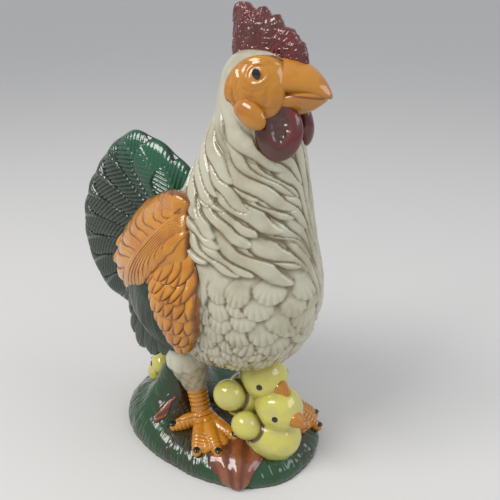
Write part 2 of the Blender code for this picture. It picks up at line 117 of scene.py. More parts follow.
def box_of(node):
    """The low and high corners of a CAD node's box, in millimetres."""
    return (np.array(corner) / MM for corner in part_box(node))


def centre_and_size(node):
    low, high = box_of(node)
    return (low + high) / 2.0, high - low


def paint_mesh(mesh, label, values):
    """Store one value per vertex for the glaze to read."""
    layer = mesh.attributes.new(label, "FLOAT", "POINT")
    layer.data.foreach_set("value", np.asarray(values, np.float32).ravel())


def place_piece(name, mesh, glaze, nodes):
    """Put a mesh in the scene, ride it on the root and hide the CAD nodes it replaces."""
    material, slot = glaze
    mesh.shade_smooth()
    mesh.materials.clear()
    mesh.materials.append(material)
    item = bpy.data.objects.new(name, mesh)
    bpy.context.scene.collection.objects.link(item)
    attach(item, "root")
    if nodes:
        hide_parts(*nodes)


def new_piece(name, points, faces, glaze, nodes, groove, highlight_share=None):
    """Make a piece from a grid of millimetre points, its faces and its painted grooves."""
    mesh = bpy.data.meshes.new(name)
    mesh.from_pydata([tuple(point) for point in points.reshape(-1, 3) * MM], [], faces)
    mesh.validate()
    paint_mesh(mesh, "groove", groove)
    # The share of a painted highlight on each vertex, where the piece has one
    if highlight_share is not None:
        paint_mesh(mesh, "highlight_share", highlight_share)
    place_piece(name, mesh, glaze, nodes)


def grid_faces(rows, columns, wrap):
    """Quads of a grid whose columns may wrap round."""
    across = columns if wrap else columns - 1
    r, c = np.meshgrid(np.arange(rows - 1), np.arange(across), indexing="ij")
    after = (c + 1) % columns
    above, below = r * columns, (r + 1) * columns
    quads = np.stack([above + c, above + after, below + after, below + c], -1)
    return quads.reshape(-1, 4).tolist()


def row_face(row, columns):
    """One face over a whole row of a wrapped grid, to close its end."""
    return [row * columns + column for column in range(columns)]


def rings_between(centre, outline, share):
    """Rings of 2-D points from a centre out to an outline, one ring for each share of the way."""
    return centre + share[:, None, None] * (outline - centre)[None]


def upright(x, spots):
    """3-D points from how far out they lie along X and their (Y, Z) places."""
    return np.stack([x, spots[:, :, 0], spots[:, :, 1]], -1)


def surface_of(*nodes):
    """A search tree over the faces of CAD nodes, in millimetres."""
    verts, faces = [], []
    for node in nodes:
        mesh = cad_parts[node].data
        first = len(verts)
        verts += [vertex.co / MM for vertex in mesh.vertices]
        faces += [[first + index for index in face.vertices] for face in mesh.polygons]
    return BVHTree.FromPolygons(verts, faces)


def outermost(tree, origin, direction, far=400.0):
    """The last place where a ray from origin leaves the tree's surface."""
    hit = tree.ray_cast(origin + direction * far, -direction, far)[0]
    return hit if hit is not None else origin


def way_out(angle, lift):
    """A unit vector at an angle round from the front, lifted above the level."""
    return Vector((math.cos(lift) * math.sin(angle), -math.cos(lift) * math.cos(angle), math.sin(lift)))


def refine(grid, rows, columns):
    """Spread a coarse grid of points, whose columns wrap round, over a fine one and round it off."""
    old_rows, old_columns = grid.shape[:2]
    row_at = np.linspace(0.0, old_rows - 1.0, rows)
    low = np.minimum(row_at.astype(int), old_rows - 2)
    part = (row_at - low)[:, None, None]
    tall = grid[low] * (1.0 - part) + grid[low + 1] * part
    column_at = np.arange(columns) * old_columns / columns
    left = column_at.astype(int)
    part = (column_at - left)[None, :, None]
    fine = tall[:, left] * (1.0 - part) + tall[:, (left + 1) % old_columns] * part
    fine = blur(fine, rows / old_rows * ROUNDING, 0, False)
    return blur(fine, columns / old_columns * ROUNDING, 1, True)


def grid_normals(points):
    """Unit normals of a grid of points whose columns wrap round, facing out."""
    down = np.gradient(points, axis=0)
    across = (np.roll(points, -1, 1) - np.roll(points, 1, 1)) / 2.0
    normal = np.cross(across, down)
    length = np.linalg.norm(normal, axis=-1, keepdims=True)
    return normal / np.maximum(length, 1e-9)


def fused(mesh, voxel, rounds):
    """Fuse a mesh's overlapping lumps by a voxel remesh, then smooth it that many rounds."""
    rough = bpy.data.objects.new(mesh.name + "_rough", mesh)
    bpy.context.scene.collection.objects.link(rough)
    fuse = rough.modifiers.new("fuse", "REMESH")
    fuse.mode = "VOXEL"
    fuse.voxel_size = voxel * MM
    soften = rough.modifiers.new("soften", "SMOOTH")
    soften.iterations = rounds
    bpy.context.view_layer.update()
    graph = bpy.context.evaluated_depsgraph_get()
    done = bpy.data.meshes.new_from_object(rough.evaluated_get(graph))
    bpy.data.objects.remove(rough, do_unlink=True)
    return done


def points_of(mesh):
    """A mesh's vertices in millimetres, and their normals."""
    points = np.empty(len(mesh.vertices) * 3, np.float32)
    normals = points.copy()
    mesh.vertices.foreach_get("co", points)
    mesh.vertices.foreach_get("normal", normals)
    return points.reshape(-1, 3) / MM, normals.reshape(-1, 3)


def move_points(mesh, points):
    mesh.vertices.foreach_set("co", (points * MM).astype(np.float32).ravel())


def clay(name, balls, limbs, voxel, rounds, glaze, nodes=(), relief=None):
    """Balls and limbs pressed together like clay; relief gives the skin's height and grooves."""
    verts, faces = [], []
    for centre, radii, turn in balls:
        add_ball(verts, faces, centre, radii, turn)
    for joints in limbs:
        add_limb(verts, faces, joints)
    mesh = bpy.data.meshes.new(name)
    mesh.from_pydata([tuple(np.asarray(v) * MM) for v in verts], [], faces)
    done = fused(mesh, voxel, rounds)
    points, normals = points_of(done)
    height, groove = relief(points, normals) if relief else np.zeros((2, len(points)))
    move_points(done, points + normals * height[:, None])
    paint_mesh(done, "groove", groove)
    place_piece(name, done, glaze, nodes)


def add_ball(verts, faces, centre, radii, turn, rows=24, columns=36):
    """A closed ball stretched to three radii and turned by a rotation matrix."""
    first = len(verts)
    spin = np.array(turn) if turn is not None else np.eye(3)
    for row in range(1, rows):
        tilt = math.pi * row / rows
        for column in range(columns):
            angle = 2.0 * math.pi * column / columns
            wide = math.sin(tilt)
            spot = np.array((wide * math.cos(angle), wide * math.sin(angle), math.cos(tilt)))
            verts.append(np.array(centre) + spin @ (spot * np.array(radii)))
    faces += [[first + i for i in reversed(face)] for face in grid_faces(rows - 1, columns, True)]
    for pole, ring, flip in ((1.0, 0, False), (-1.0, rows - 2, True)):
        verts.append(np.array(centre) + spin @ (np.array((0.0, 0.0, pole)) * np.array(radii)))
        tip = len(verts) - 1
        for column in range(columns):
            edge = [first + ring * columns + column, first + ring * columns + (column + 1) % columns]
            faces.append([tip] + (edge[::-1] if flip else edge))


LIMB_STEPS = 8
# The rings of a limb's round end, as angles round that end in radians
LIMB_CAP_ANGLES = (0.35, 0.8, 1.2)


def add_limb(verts, faces, joints, columns=20):
    """A closed round limb through (point, radius) joints, with rounded ends."""
    points = [np.array(point, float) for point, _ in joints]
    radii = [radius for _, radius in joints]
    stations = []
    for index in range(len(points) - 1):
        for part in np.arange(LIMB_STEPS) / LIMB_STEPS:
            spot = points[index] * (1 - part) + points[index + 1] * part
            radius = radii[index] * (1 - part) + radii[index + 1] * part
            stations.append((spot, radius, points[index + 1] - points[index]))
    stations.append((points[-1], radii[-1], points[-1] - points[-2]))
    first_way = stations[0][2] / np.linalg.norm(stations[0][2])
    last_way = stations[-1][2] / np.linalg.norm(stations[-1][2])
    start, end = [], []
    for angle in LIMB_CAP_ANGLES:
        inward, beyond = math.cos(angle), math.sin(angle)
        start.insert(0, (points[0] - first_way * radii[0] * beyond, radii[0] * inward, first_way))
        end.append((points[-1] + last_way * radii[-1] * beyond, radii[-1] * inward, last_way))
    rings = []
    for centre, radius, way in start + stations + end:
        turn = Vector(way).to_track_quat("Z", "Y").to_matrix()
        ring = []
        for column in range(columns):
            angle = 2.0 * math.pi * column / columns
            verts.append(centre + np.array(turn @ Vector((math.cos(angle), math.sin(angle), 0.0))) * radius)
            ring.append(len(verts) - 1)
        rings.append(ring)
    for lower, upper in zip(rings, rings[1:]):
        for column in range(columns):
            after = (column + 1) % columns
            faces.append([lower[column], lower[after], upper[after], upper[column]])
    faces.append(list(reversed(rings[0])))
    faces.append(rings[-1])


# ---------------------------------------------------------------- materials


def glaze(
    name, slot, colour, patches, grooves, spread, roughness, patch_size=14.0, speckle=0.25, painted_highlight=None,
):
    """Fired glaze and its slot: a colour with soft patches, darker grooves and a clear coat.

    The wider the spread, the further the dark of the grooves reaches out of them. A painted highlight
    colour, where given, covers the places that the piece marks for that painted highlight.
    """
    material = bpy.data.materials.new(name)
    material.use_nodes = True
    nodes, links = material.node_tree.nodes, material.node_tree.links
    shader = nodes["Principled BSDF"]
    place = nodes.new("ShaderNodeTexCoord")

    def noise_at(size_mm, detail):
        texture = nodes.new("ShaderNodeTexNoise")
        texture.inputs["Scale"].default_value = 1.0 / (size_mm * MM)
        texture.inputs["Detail"].default_value = detail
        links.new(place.outputs["Object"], texture.inputs["Vector"])
        return texture.outputs["Fac"]

    def ramp(source, low, high):
        node = nodes.new("ShaderNodeMapRange")
        node.interpolation_type = "SMOOTHSTEP"
        node.inputs["From Min"].default_value = low
        node.inputs["From Max"].default_value = high
        links.new(source, node.inputs["Value"])
        return node.outputs["Result"]

    def blend(factor, first, second):
        node = nodes.new("ShaderNodeMix")
        node.data_type = "RGBA"
        links.new(factor, node.inputs["Factor"])
        for socket, value in (("A", first), ("B", second)):
            target = [s for s in node.inputs if s.name == socket and s.type == "RGBA"][0]
            if isinstance(value, tuple):
                target.default_value = (*value, 1.0)
            else:
                links.new(value, target)
        return [s for s in node.outputs if s.type == "RGBA"][0]

    def painted(label):
        node = nodes.new("ShaderNodeAttribute")
        node.attribute_name = label
        return node.outputs["Fac"]

    tint = blend(ramp(noise_at(patch_size, 3.0), 0.42, 0.68), colour, patches)
    # Painted highlight: a lighter colour over the places the piece marks for it
    if painted_highlight:
        tint = blend(painted("highlight_share"), tint, painted_highlight)
    broken = nodes.new("ShaderNodeMath")
    broken.operation = "MULTIPLY_ADD"
    broken.inputs[1].default_value = speckle
    links.new(noise_at(3.0, 4.0), broken.inputs[0])
    links.new(painted("groove"), broken.inputs[2])
    worn = ramp(broken.outputs[0], 0.35 + speckle * 0.5 - spread * 0.3, 0.95 + speckle * 0.5)
    links.new(blend(worn, tint, grooves), shader.inputs["Base Color"])
    shader.inputs["Roughness"].default_value = roughness
    shader.inputs["Specular IOR Level"].default_value = 0.5
    shader.inputs["Coat Weight"].default_value = 0.55
    shader.inputs["Coat Roughness"].default_value = 0.06
    ripple = nodes.new("ShaderNodeBump")
    ripple.inputs["Strength"].default_value = 0.12
    ripple.inputs["Distance"].default_value = 0.35 * MM
    links.new(noise_at(2.2, 3.0), ripple.inputs["Height"])
    links.new(ripple.outputs["Normal"], shader.inputs["Normal"])
    return material, slot


WHITE = glaze(
    "white_glaze", "white_glaze", (0.53, 0.51, 0.385), (0.42, 0.39, 0.27), (0.165, 0.120, 0.055),
    0.9, 0.24, 22.0, 0.35,
)
ORANGE = glaze(
    "orange_glaze", "orange_glaze", (0.58, 0.235, 0.014), (0.50, 0.18, 0.012), (0.20, 0.055, 0.006),
    0.6, 0.18
)
FACE = glaze(
    "face_glaze", "orange_glaze", (0.50, 0.205, 0.014), (0.42, 0.15, 0.012), (0.22, 0.06, 0.008), 0.5, 0.16
)
MAROON = glaze(
    "maroon_glaze", "maroon_glaze", (0.14, 0.012, 0.014), (0.075, 0.022, 0.014), (0.075, 0.028, 0.018),
    0.7, 0.2, 22.0,
)
# The tail's green glaze; its last colour is a painted highlight green for the glossy upper feathers
TAIL_GREEN = glaze(
    "tail_green", "tail_green_glaze", (0.010, 0.034, 0.014), (0.026, 0.038, 0.018), (0.005, 0.010, 0.007),
    0.7, 0.17, 30.0, painted_highlight=(0.006, 0.105, 0.045),
)
GRASS = glaze(
    "grass_green", "grass_green_glaze", (0.007, 0.058, 0.014), (0.024, 0.034, 0.012), (0.040, 0.026, 0.010),
    0.6, 0.16, 26.0, 0.4,
)
LEAF = glaze(
    "leaf_brown", "leaf_brown_glaze", (0.27, 0.085, 0.028), (0.20, 0.055, 0.02), (0.13, 0.035, 0.014),
    0.7, 0.16, 10.0,
)
YELLOW = glaze(
    "yellow_glaze", "yellow_glaze", (0.60, 0.555, 0.11), (0.54, 0.49, 0.15), (0.13, 0.075, 0.018),
    0.6, 0.14, 12.0,
)
PAINT = glaze(
    "black_enamel", "maroon_glaze", (0.006, 0.006, 0.006), (0.00432, 0.00432, 0.00432), (0.004, 0.004, 0.004),
    0.3, 0.12,
)


# ---------------------------------------------------------------- feather shapes


def lock_shape(points, curve, width):
    """A wavy pointed lock laid along a curve: its mask, its relief and how dark its edges are."""
    run, off, length = along_curve(points, curve)
    share = run / length
    body = np.clip(share, 0.0, 1.0)
    half = width / 2.0 * np.minimum(1.0, 0.5 + 1.6 * body)
    half = half * np.sqrt(np.clip(1.0 - body ** 3.2, 0.0, 1.0))
    edge = np.abs(off) / np.maximum(half, 0.05)
    inside = (edge < 1.0) & (share > 0.0) & (share < 1.0)
    dome = np.sqrt(np.clip(1.0 - edge ** 2.2, 0.0, 1.0))
    strand = np.cos(off / np.maximum(half, 0.05) * 4.6 + body * 3.0)
    height = (0.25 + 2.1 * ease(share, 0.0, 0.6)) * dome + 0.13 * strand * dome
    dark = np.maximum(edge ** 3.0, 0.24 * (0.5 - 0.5 * strand))
    return inside, height, np.clip(dark, 0.0, 1.0)


def scallop_shape(across, along, length, width, flutes, lift=1.4):
    """A fan-shaped feather with a round end and flutes that spread from its root."""
    share = along / length
    round_end = np.clip((share - 0.35) / 0.65, 0.0, 1.0)
    half = width / 2.0 * np.minimum(1.0, 0.62 + 0.9 * np.clip(share, 0.0, 1.0))
    half = half * np.sqrt(np.clip(1.0 - round_end ** 2.4, 0.0, 1.0))
    edge = np.abs(across) / np.maximum(half, 0.05)
    inside = (edge < 1.0) & (share > 0.0) & (share < 1.0)
    fan_angle = np.arctan2(across, along + length * 0.45)
    ribs = 2.0 * np.abs(np.cos(fan_angle * flutes / 2.0)) - 1.0
    rim = np.sqrt(np.clip(1.0 - edge ** 5.0, 0.0, 1.0))
    height = (0.25 + lift * ease(share, 0.0, 0.9)) * rim + 0.50 * ribs * ease(share, 0.35, 0.8) * rim
    near = np.maximum(edge ** 4.0, np.clip((share - 0.86) / 0.14, 0.0, 1.0) ** 2.0)
    valley = (0.5 - 0.5 * ribs) ** 1.3 * ease(share, 0.35, 0.85)
    return inside, height, np.clip(np.maximum(near, valley), 0.0, 1.0)


def along_curve(points, curve):
    """Distance along a curve of points, and signed distance off it, for each 2-D point."""
    starts, ends = curve[:-1], curve[1:]
    ways = ends - starts
    lengths = np.linalg.norm(ways, axis=1)
    before = np.concatenate([[0.0], np.cumsum(lengths)[:-1]])
    best = np.full(len(points), np.inf)
    run = np.zeros(len(points))
    off = np.zeros(len(points))
    last = len(starts) - 1
    for index in range(len(starts)):
        gap = points - starts[index]
        unit = ways[index] / lengths[index]
        travel = gap @ unit
        low = -1e9 if index == 0 else 0.0
        high = 1e9 if index == last else lengths[index]
        clamped = np.clip(travel, low, high)
        near = gap - clamped[:, None] * unit
        distance = np.einsum("ij,ij->i", near, near)
        closer = distance < best
        side = gap[:, 0] * unit[1] - gap[:, 1] * unit[0]
        best = np.where(closer, distance, best)
        run = np.where(closer, before[index] + clamped, run)
        off = np.where(closer, np.sign(side) * np.sqrt(distance), off)
    return run, off, lengths.sum()


def bezier(start, control, end, count=16):
    """Points along a curve from start to end that bends towards its control point."""
    t = np.linspace(0.0, 1.0, count)[:, None]
    return (1 - t) ** 2 * np.array(start) + 2 * (1 - t) * t * np.array(control) + t ** 2 * np.array(end)


def quill_shape(points, feather):
    """A long feather on a curve: a raised quill and slanted barbs, or, as a rope, long strands."""
    run, off, length = along_curve(points, feather["curve"])
    narrow, quill_width = feather["narrow"], feather["quill"]
    share = run / length
    tip = np.clip((share - feather["taper"]) / (1.0 - feather["taper"]), 0.0, 1.0)
    half = feather["width"] / 2.0 * np.minimum(1.0, narrow + (1.0 - narrow) * share / 0.6)
    half = half * np.sqrt(np.clip(1.0 - tip ** 2.2, 0.0, 1.0))
    edge = np.abs(off) / np.maximum(half, 0.05)
    inside = (edge < 1.0) & (share > 0.0) & (share < 1.0)
    if feather.get("rope"):
        dome = np.sqrt(np.clip(1.0 - edge ** 2.4, 0.0, 1.0))
        strand = 2.0 * np.abs(np.cos(math.pi * off / feather["pitch"])) - 1.0
        height = (0.3 + feather["lift"] * ease(share, 0.0, 0.7)) * dome + feather["barb"] * strand * dome
        dark = np.maximum(edge ** 4.0, 0.40 * (0.5 - 0.5 * strand) ** 2.0)
        return inside, height, np.clip(dark, 0.0, 1.0)
    rim = np.sqrt(np.clip(1.0 - edge ** 6.0, 0.0, 1.0))
    barb = 2.0 * np.abs(np.sin(math.pi * (run - np.abs(off) * feather["slant"]) / feather["pitch"])) - 1.0
    quill = np.exp(-(off / quill_width) ** 2)
    trough = np.exp(-((np.abs(off) - quill_width * 1.5) / (quill_width * 0.6)) ** 2)
    height = (0.35 + feather["lift"] * ease(share, 0.0, 0.8)) * rim
    height = height + feather["barb"] * barb * rim * (1.0 - quill) + 0.55 * quill * rim
    height = height - 0.35 * trough * rim
    dark = np.maximum(edge ** 5.0, (0.5 - 0.5 * barb) ** 2.0 * min(1.0, feather["barb"] / 0.3))
    return inside, height, np.clip(dark * (1.0 - 0.6 * quill), 0.0, 1.0)


SCALE_LENGTH, SCALE_WIDTH, SCALE_LIFT = 23.0, 20.5, 2.9


def feather_field(points, feathers):
    """Lay quills and scales over each other in order: where they are, their relief and grooves."""
    covered = np.zeros(len(points), bool)
    height = np.zeros(len(points))
    groove = np.zeros(len(points))
    for feather in feathers:
        if "curve" in feather:
            inside, rise, dark = quill_shape(points, feather)
        else:
            way = np.array((math.cos(feather["heading"]), math.sin(feather["heading"])))
            gap = points - np.array(feather["root_at"])
            along = gap @ way
            across = gap[:, 0] * way[1] - gap[:, 1] * way[0]
            inside, rise, dark = scallop_shape(
                across, along, SCALE_LENGTH + 1.0, feather["width"], 26.0, SCALE_LIFT
            )
        rise = rise + feather.get("layer", 0.0)
        height = np.where(inside, rise, height)
        groove = np.where(inside, dark, groove)
        covered |= inside
    return covered, height, groove


# ---------------------------------------------------------------- trunk, neck and head

NECK_ROWS, NECK_COLUMNS = 640, 760
CHEEK_HEIGHT = 262.0
# Height and Y of the trunk's middle line
TRUNK_MIDDLE = ((80.0, -9.0), (160.0, -9.0), (188.0, -17.0), (220.0, -28.0), (254.0, -33.0), (290.0, -38.0))
# How far inside the ends of the CAD skin the rays start, and the share of rows that close each end
BELLY_INSET, CROWN_INSET = 34.0, 22.0
BELLY_SHARE, CROWN_SHARE = 0.14, 0.10
STEEPEST = 1.55
# Scallops: lowest row, distances between rows and between neighbours, length and width
SCALLOP_BOTTOM, SCALLOP_TOP, SCALLOP_ROW, SCALLOP_SPACING = 82.0, 178.0, 9.6, 17.0
SCALLOP_LENGTH, SCALLOP_WIDTH, SCALLOP_FLUTES = 20.0, 21.5, 38.0
# Locks: lowest and highest rows, distance between rows, length, steps along one, and its wave
LOCK_BOTTOM, LOCK_TOP, LOCK_ROW, LOCK_LENGTH = 202.0, 278.0, 18.0, 70.0
LOCK_STEPS = 14
LOCK_WAVE = math.radians(26.0)
# The angle where the locks part
PARTING = math.radians(16.0)


def trunk_axis(height):
    """Where the middle of the trunk lies along Y at a height."""
    return float(np.interp(height, *zip(*TRUNK_MIDDLE)))


def trunk_grid():
    """The outer surface of the trunk and the head, from the belly to the crown."""
    tree = surface_of("body_shell", "head")
    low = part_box("body_shell")[0].z / MM
    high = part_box("head")[1].z / MM
    belly, crown = low + BELLY_INSET, high - CROWN_INSET
    rows, columns = 96, 80
    grid = np.zeros((rows, columns, 3))
    for row in range(rows):
        share = row / (rows - 1)
        climb = np.clip((share - BELLY_SHARE) / (1.0 - BELLY_SHARE - CROWN_SHARE), 0.0, 1.0)
        height = belly + (crown - belly) * climb
        lift = 0.0
        if share < BELLY_SHARE:
            lift = max(-STEEPEST, -math.pi / 2.0 * (1.0 - share / BELLY_SHARE))
        elif share > 1.0 - CROWN_SHARE:
            lift = min(STEEPEST, math.pi / 2.0 * (share - 1.0 + CROWN_SHARE) / CROWN_SHARE)
        origin = Vector((0.0, trunk_axis(height), height))
        for column in range(columns):
            grid[row, column] = outermost(tree, origin, way_out(2.0 * math.pi * column / columns, lift))
    return grid


def centred(angle):
    """The same angle between minus and plus half a turn."""
    return (angle + math.pi) % (2.0 * math.pi) - math.pi


class Chart:
    """A fine grid over the trunk on which feathers are laid; angle 0 faces front, + is the left."""

    def __init__(self, points):
        self.points = points
        self.rows, self.columns = points.shape[:2]
        self.angle = centred(np.arange(self.columns) / self.columns * 2.0 * math.pi)
        self.level = points[:, :, 2].mean(axis=1)
        steps = np.linalg.norm(np.diff(points, axis=0), axis=2).mean(axis=1)
        self.run = np.concatenate([[0.0], np.cumsum(steps)])
        around = np.linalg.norm(np.roll(points, -1, 1) - points, axis=2).sum(axis=1)
        self.radius = around / (2.0 * math.pi)
        self.height = np.zeros((self.rows, self.columns))
        self.groove = np.zeros((self.rows, self.columns))

    def run_at(self, level):
        """Distance up the skin at a height."""
        middle = slice(int(self.rows * 0.1), int(self.rows * 0.97))
        return float(np.interp(level, self.level[middle], self.run[middle]))

    def window(self, angle, root, above, below, reach):
        """The rows and columns near a spot, and their places in millimetres round it."""
        rows = np.where((self.run < root + above) & (self.run > root - below))[0]
        gap = centred(self.angle - angle)
        local = max(10.0, float(self.radius[rows].max()) if len(rows) else 10.0)
        columns = np.where(np.abs(gap) * local < reach)[0]
        side = gap[columns][None, :] * np.maximum(self.radius[rows], 10.0)[:, None]
        down = (root - self.run[rows])[:, None] * np.ones((1, len(columns)))
        return np.ix_(rows, columns), side, down

    def lay(self, window, inside, height, groove):
        """Cover what is under a feather with its own relief and grooves."""
        self.height[window] = np.where(inside, height, self.height[window])
        self.groove[window] = np.where(inside, groove, self.groove[window])

    def lay_scallop(self, angle, level, heading, length, width):
        """One fan feather with its root at (angle, level), pointing down and turned by heading."""
        window, side, down = self.window(angle, self.run_at(level), 4.0, length + 3.0, length)
        along = down * math.cos(heading) + side * math.sin(heading)
        across = side * math.cos(heading) - down * math.sin(heading)
        self.lay(window, *scallop_shape(across, along, length, width, SCALLOP_FLUTES))

    def lay_lock(self, angle, level, length, width, lean):
        """One wavy lock that starts at (angle, level) and follows the neck's flow downwards."""
        root = self.run_at(level)
        curve = [(0.0, 0.0)]
        turned = angle
        stride = length / LOCK_STEPS
        for step in range(LOCK_STEPS):
            share = (step + 0.5) / LOCK_STEPS
            fallen = curve[-1][1]
            heading = flow(turned, level - fallen) + lean
            wave = LOCK_WAVE * math.cos(2.0 * math.pi * share * 0.95) * side_share(turned)
            heading -= math.copysign(wave, turned - PARTING)
            radius = max(10.0, float(np.interp(root - fallen, self.run, self.radius)))
            turned += math.sin(heading) * stride / radius
            curve.append(((turned - angle) * radius, fallen + math.cos(heading) * stride))
        curve = np.array(curve)
        reach = np.abs(curve[:, 0]).max() + width
        window, side, down = self.window(angle, root, 4.0, curve[-1][1] + 4.0, reach)
        laid = lock_shape(np.stack([side, down], -1).reshape(-1, 2), curve, width)
        self.lay(window, *(values.reshape(side.shape) for values in laid))


def side_share(angle):
    """0 at the parting, which lies a little left of the front, and 1 round the sides and back."""
    return float(ease(abs(angle - PARTING), math.radians(2.0), math.radians(34.0)))


def flow(angle, level):
    """Which way the neck's locks run: down, and forward round the sides."""
    angle -= PARTING
    slant = math.radians(np.interp(level, [150.0, 200.0, 245.0, 275.0], [42.0, 46.0, 38.0, 22.0]))
    behind = 1.0 - 0.75 * float(ease(abs(angle), math.radians(115.0), math.radians(170.0)))
    return -math.copysign(slant * side_share(angle + PARTING) * behind, angle)


def lay_scallops(chart):
    """Rows of fluted fan feathers under the breast and belly, lowest row first."""
    for row, level in enumerate(np.arange(SCALLOP_BOTTOM, SCALLOP_TOP, SCALLOP_ROW)):
        radius = float(np.interp(chart.run_at(level), chart.run, chart.radius))
        count = max(7, int(round(2.0 * math.pi * radius / SCALLOP_SPACING)))
        for index in range(count):
            angle = 2.0 * math.pi * (index + 0.5 * (row % 2)) / count + RANDOM.normal(0.0, 0.035)
            chart.lay_scallop(
                angle, level + RANDOM.normal(0.0, 1.0), RANDOM.normal(0.0, 0.12),
                SCALLOP_LENGTH * RANDOM.uniform(0.88, 1.15), SCALLOP_WIDTH * RANDOM.uniform(0.88, 1.15),
            )


def lay_locks(chart):
    """Rows of long wavy locks from the lower neck up to the cheeks, lowest row first."""
    for row, level in enumerate(np.arange(LOCK_BOTTOM, LOCK_TOP, LOCK_ROW)):
        radius = float(np.interp(chart.run_at(level), chart.run, chart.radius))
        spacing = 7.8 - 1.4 * float(ease(level, 200.0, 275.0))
        count = int(round(2.0 * math.pi * radius / spacing))
        for index in range(count):
            angle = 2.0 * math.pi * (index + 0.5 * (row % 2)) / count + RANDOM.normal(0.0, 0.03)
            chart.lay_lock(
                centred(angle), level + RANDOM.normal(0.0, 5.0), LOCK_LENGTH * RANDOM.uniform(0.8, 1.12),
                (spacing + 3.4) * RANDOM.uniform(0.85, 1.2), RANDOM.normal(0.0, 0.07),
            )


def build_trunk():
    """The white breast, neck and crown as one skin, closed at the belly and the crown."""
    points = refine(trunk_grid(), NECK_ROWS, NECK_COLUMNS)
    chart = Chart(points)
    lay_scallops(chart)
    lay_locks(chart)
    level = points[:, :, 2]
    fade = 1.0 - ease(level, CHEEK_HEIGHT - 6.0, CHEEK_HEIGHT + 20.0)
    height = 1.3 * blur_skin(chart.height, 1.1)
    rise = (height - 1.1) * fade + smooth_noise(points, 9.0, 3) * 0.25
    moved = points + grid_normals(points) * rise[:, :, None]
    faces = grid_faces(NECK_ROWS, NECK_COLUMNS, True)
    faces.append(row_face(0, NECK_COLUMNS)[::-1])
    faces.append(row_face(NECK_ROWS - 1, NECK_COLUMNS))
    brown = brown_wash(points, height, chart.groove) * fade + 0.12 * (1.0 - fade)
    new_piece("breast_and_neck", moved, faces, WHITE, ["body_shell", "head"], brown)


def brown_wash(points, height, grooves):
    """Where brown wash is left: in the grooves and hollows, more round the locks; and a patchy brown that
    grows towards the bottom of the belly.
    """
    level = points[:, :, 2]
    locks = ease(level, 138.0, 158.0)
    # Browner towards the bottom of the belly, in patches
    belly = 1.0 - ease(level, 95.0, 150.0)
    hollow = np.clip(blur_skin(height, 7.0) - height, 0.0, 1.0)
    soaked = blur_skin(grooves, 6.0) * (0.4 + 0.6 * locks)
    wash = (0.46 + 0.10 * locks) * blur_skin(grooves, 1.2) ** 1.5 + 0.66 * hollow + 0.45 * soaked
    return np.clip(wash + 0.30 * belly * (0.5 + smooth_noise(points, 6.0, 4)) - 0.06, 0.0, 1.0)


# ---------------------------------------------------------------- feathered plates


def outline_of(feathers, centre, reach, angles):
    """The outer edge of a group of feathers, as a radius for each angle round a centre."""
    steps = np.arange(2.0, reach, 0.5)
    directions = np.stack([np.cos(angles), np.sin(angles)], -1)
    spots = centre + directions[:, None, :] * steps[None, :, None]
    covered = feather_field(spots.reshape(-1, 2), feathers)[0].reshape(len(angles), len(steps))
    last = np.where(covered.any(axis=1), len(steps) - 1 - covered[:, ::-1].argmax(axis=1), 0)
    return blur(steps[last].astype(float), 0.7, 0, True)


SAMPLES = 26


def fitted_side(node, side):
    """A smooth rule for how far out a CAD node's outer face lies at (Y, Z).

    It is a quadratic fitted to the face, held to its value at the edge of the node's box outside it.
    """
    tree = surface_of(node)
    low, high = box_of(node)
    spots, reach = [], []
    for y in np.linspace(low[1], high[1], SAMPLES):
        for z in np.linspace(low[2], high[2], SAMPLES):
            hit = tree.ray_cast(Vector((side * 200.0, y, z)), Vector((-side, 0.0, 0.0)))[0]
            if hit is not None:
                spots.append((y, z))
                reach.append(hit.x * side)
    spots, reach = np.array(spots), np.array(reach)
    middle, span = spots.mean(axis=0), spots.std(axis=0)

    def terms(points):
        a, b = (np.clip(points, low[1:] + 4.0, high[1:] - 4.0) - middle).T / span[:, None]
        return np.stack([np.ones_like(a), a, b, a * a, a * b, b * b], -1)

    weight = np.ones(len(spots))
    for _ in range(4):
        factors = np.linalg.lstsq(terms(spots) * weight[:, None], reach * weight, rcond=None)[0]
        short = terms(spots) @ factors - reach
        weight = np.where(short > 0.6, 0.25, 1.0)
    return lambda points: terms(points) @ factors


PLATE_ANGLES, PLATE_RINGS = 620, 150
WIDEST_PLATE = 130.0
SUNK_DEPTH, SUNK_OVER = 7.0, 24.0
EDGE_DROP = 2.6


def feathered_spots(feathers, centre, rings, soften, bare):
    """Rings of (Y, Z) places over a group of feathers, with the feathers' relief and grooves.

    The outline is softened by a blur, and bare is how dark it is where no feather lies.
    """
    centre = np.array(centre)
    angles = np.linspace(0.0, 2.0 * math.pi, PLATE_ANGLES, endpoint=False)
    radius = outline_of(feathers, centre, WIDEST_PLATE, angles)
    if soften:
        radius = blur(radius, soften, 0, True)
    share = np.linspace(0.0, 1.0, rings) ** 0.8
    ways = np.stack([np.cos(angles), np.sin(angles)], -1)
    spots = centre + share[:, None, None] * (radius[:, None] * ways)[None]
    covered, height, groove = feather_field(spots.reshape(-1, 2), feathers)
    height = np.where(covered, height, 0.3).reshape(spots.shape[:2])
    groove = np.where(covered, groove, bare).reshape(spots.shape[:2])
    return spots, share, height, groove


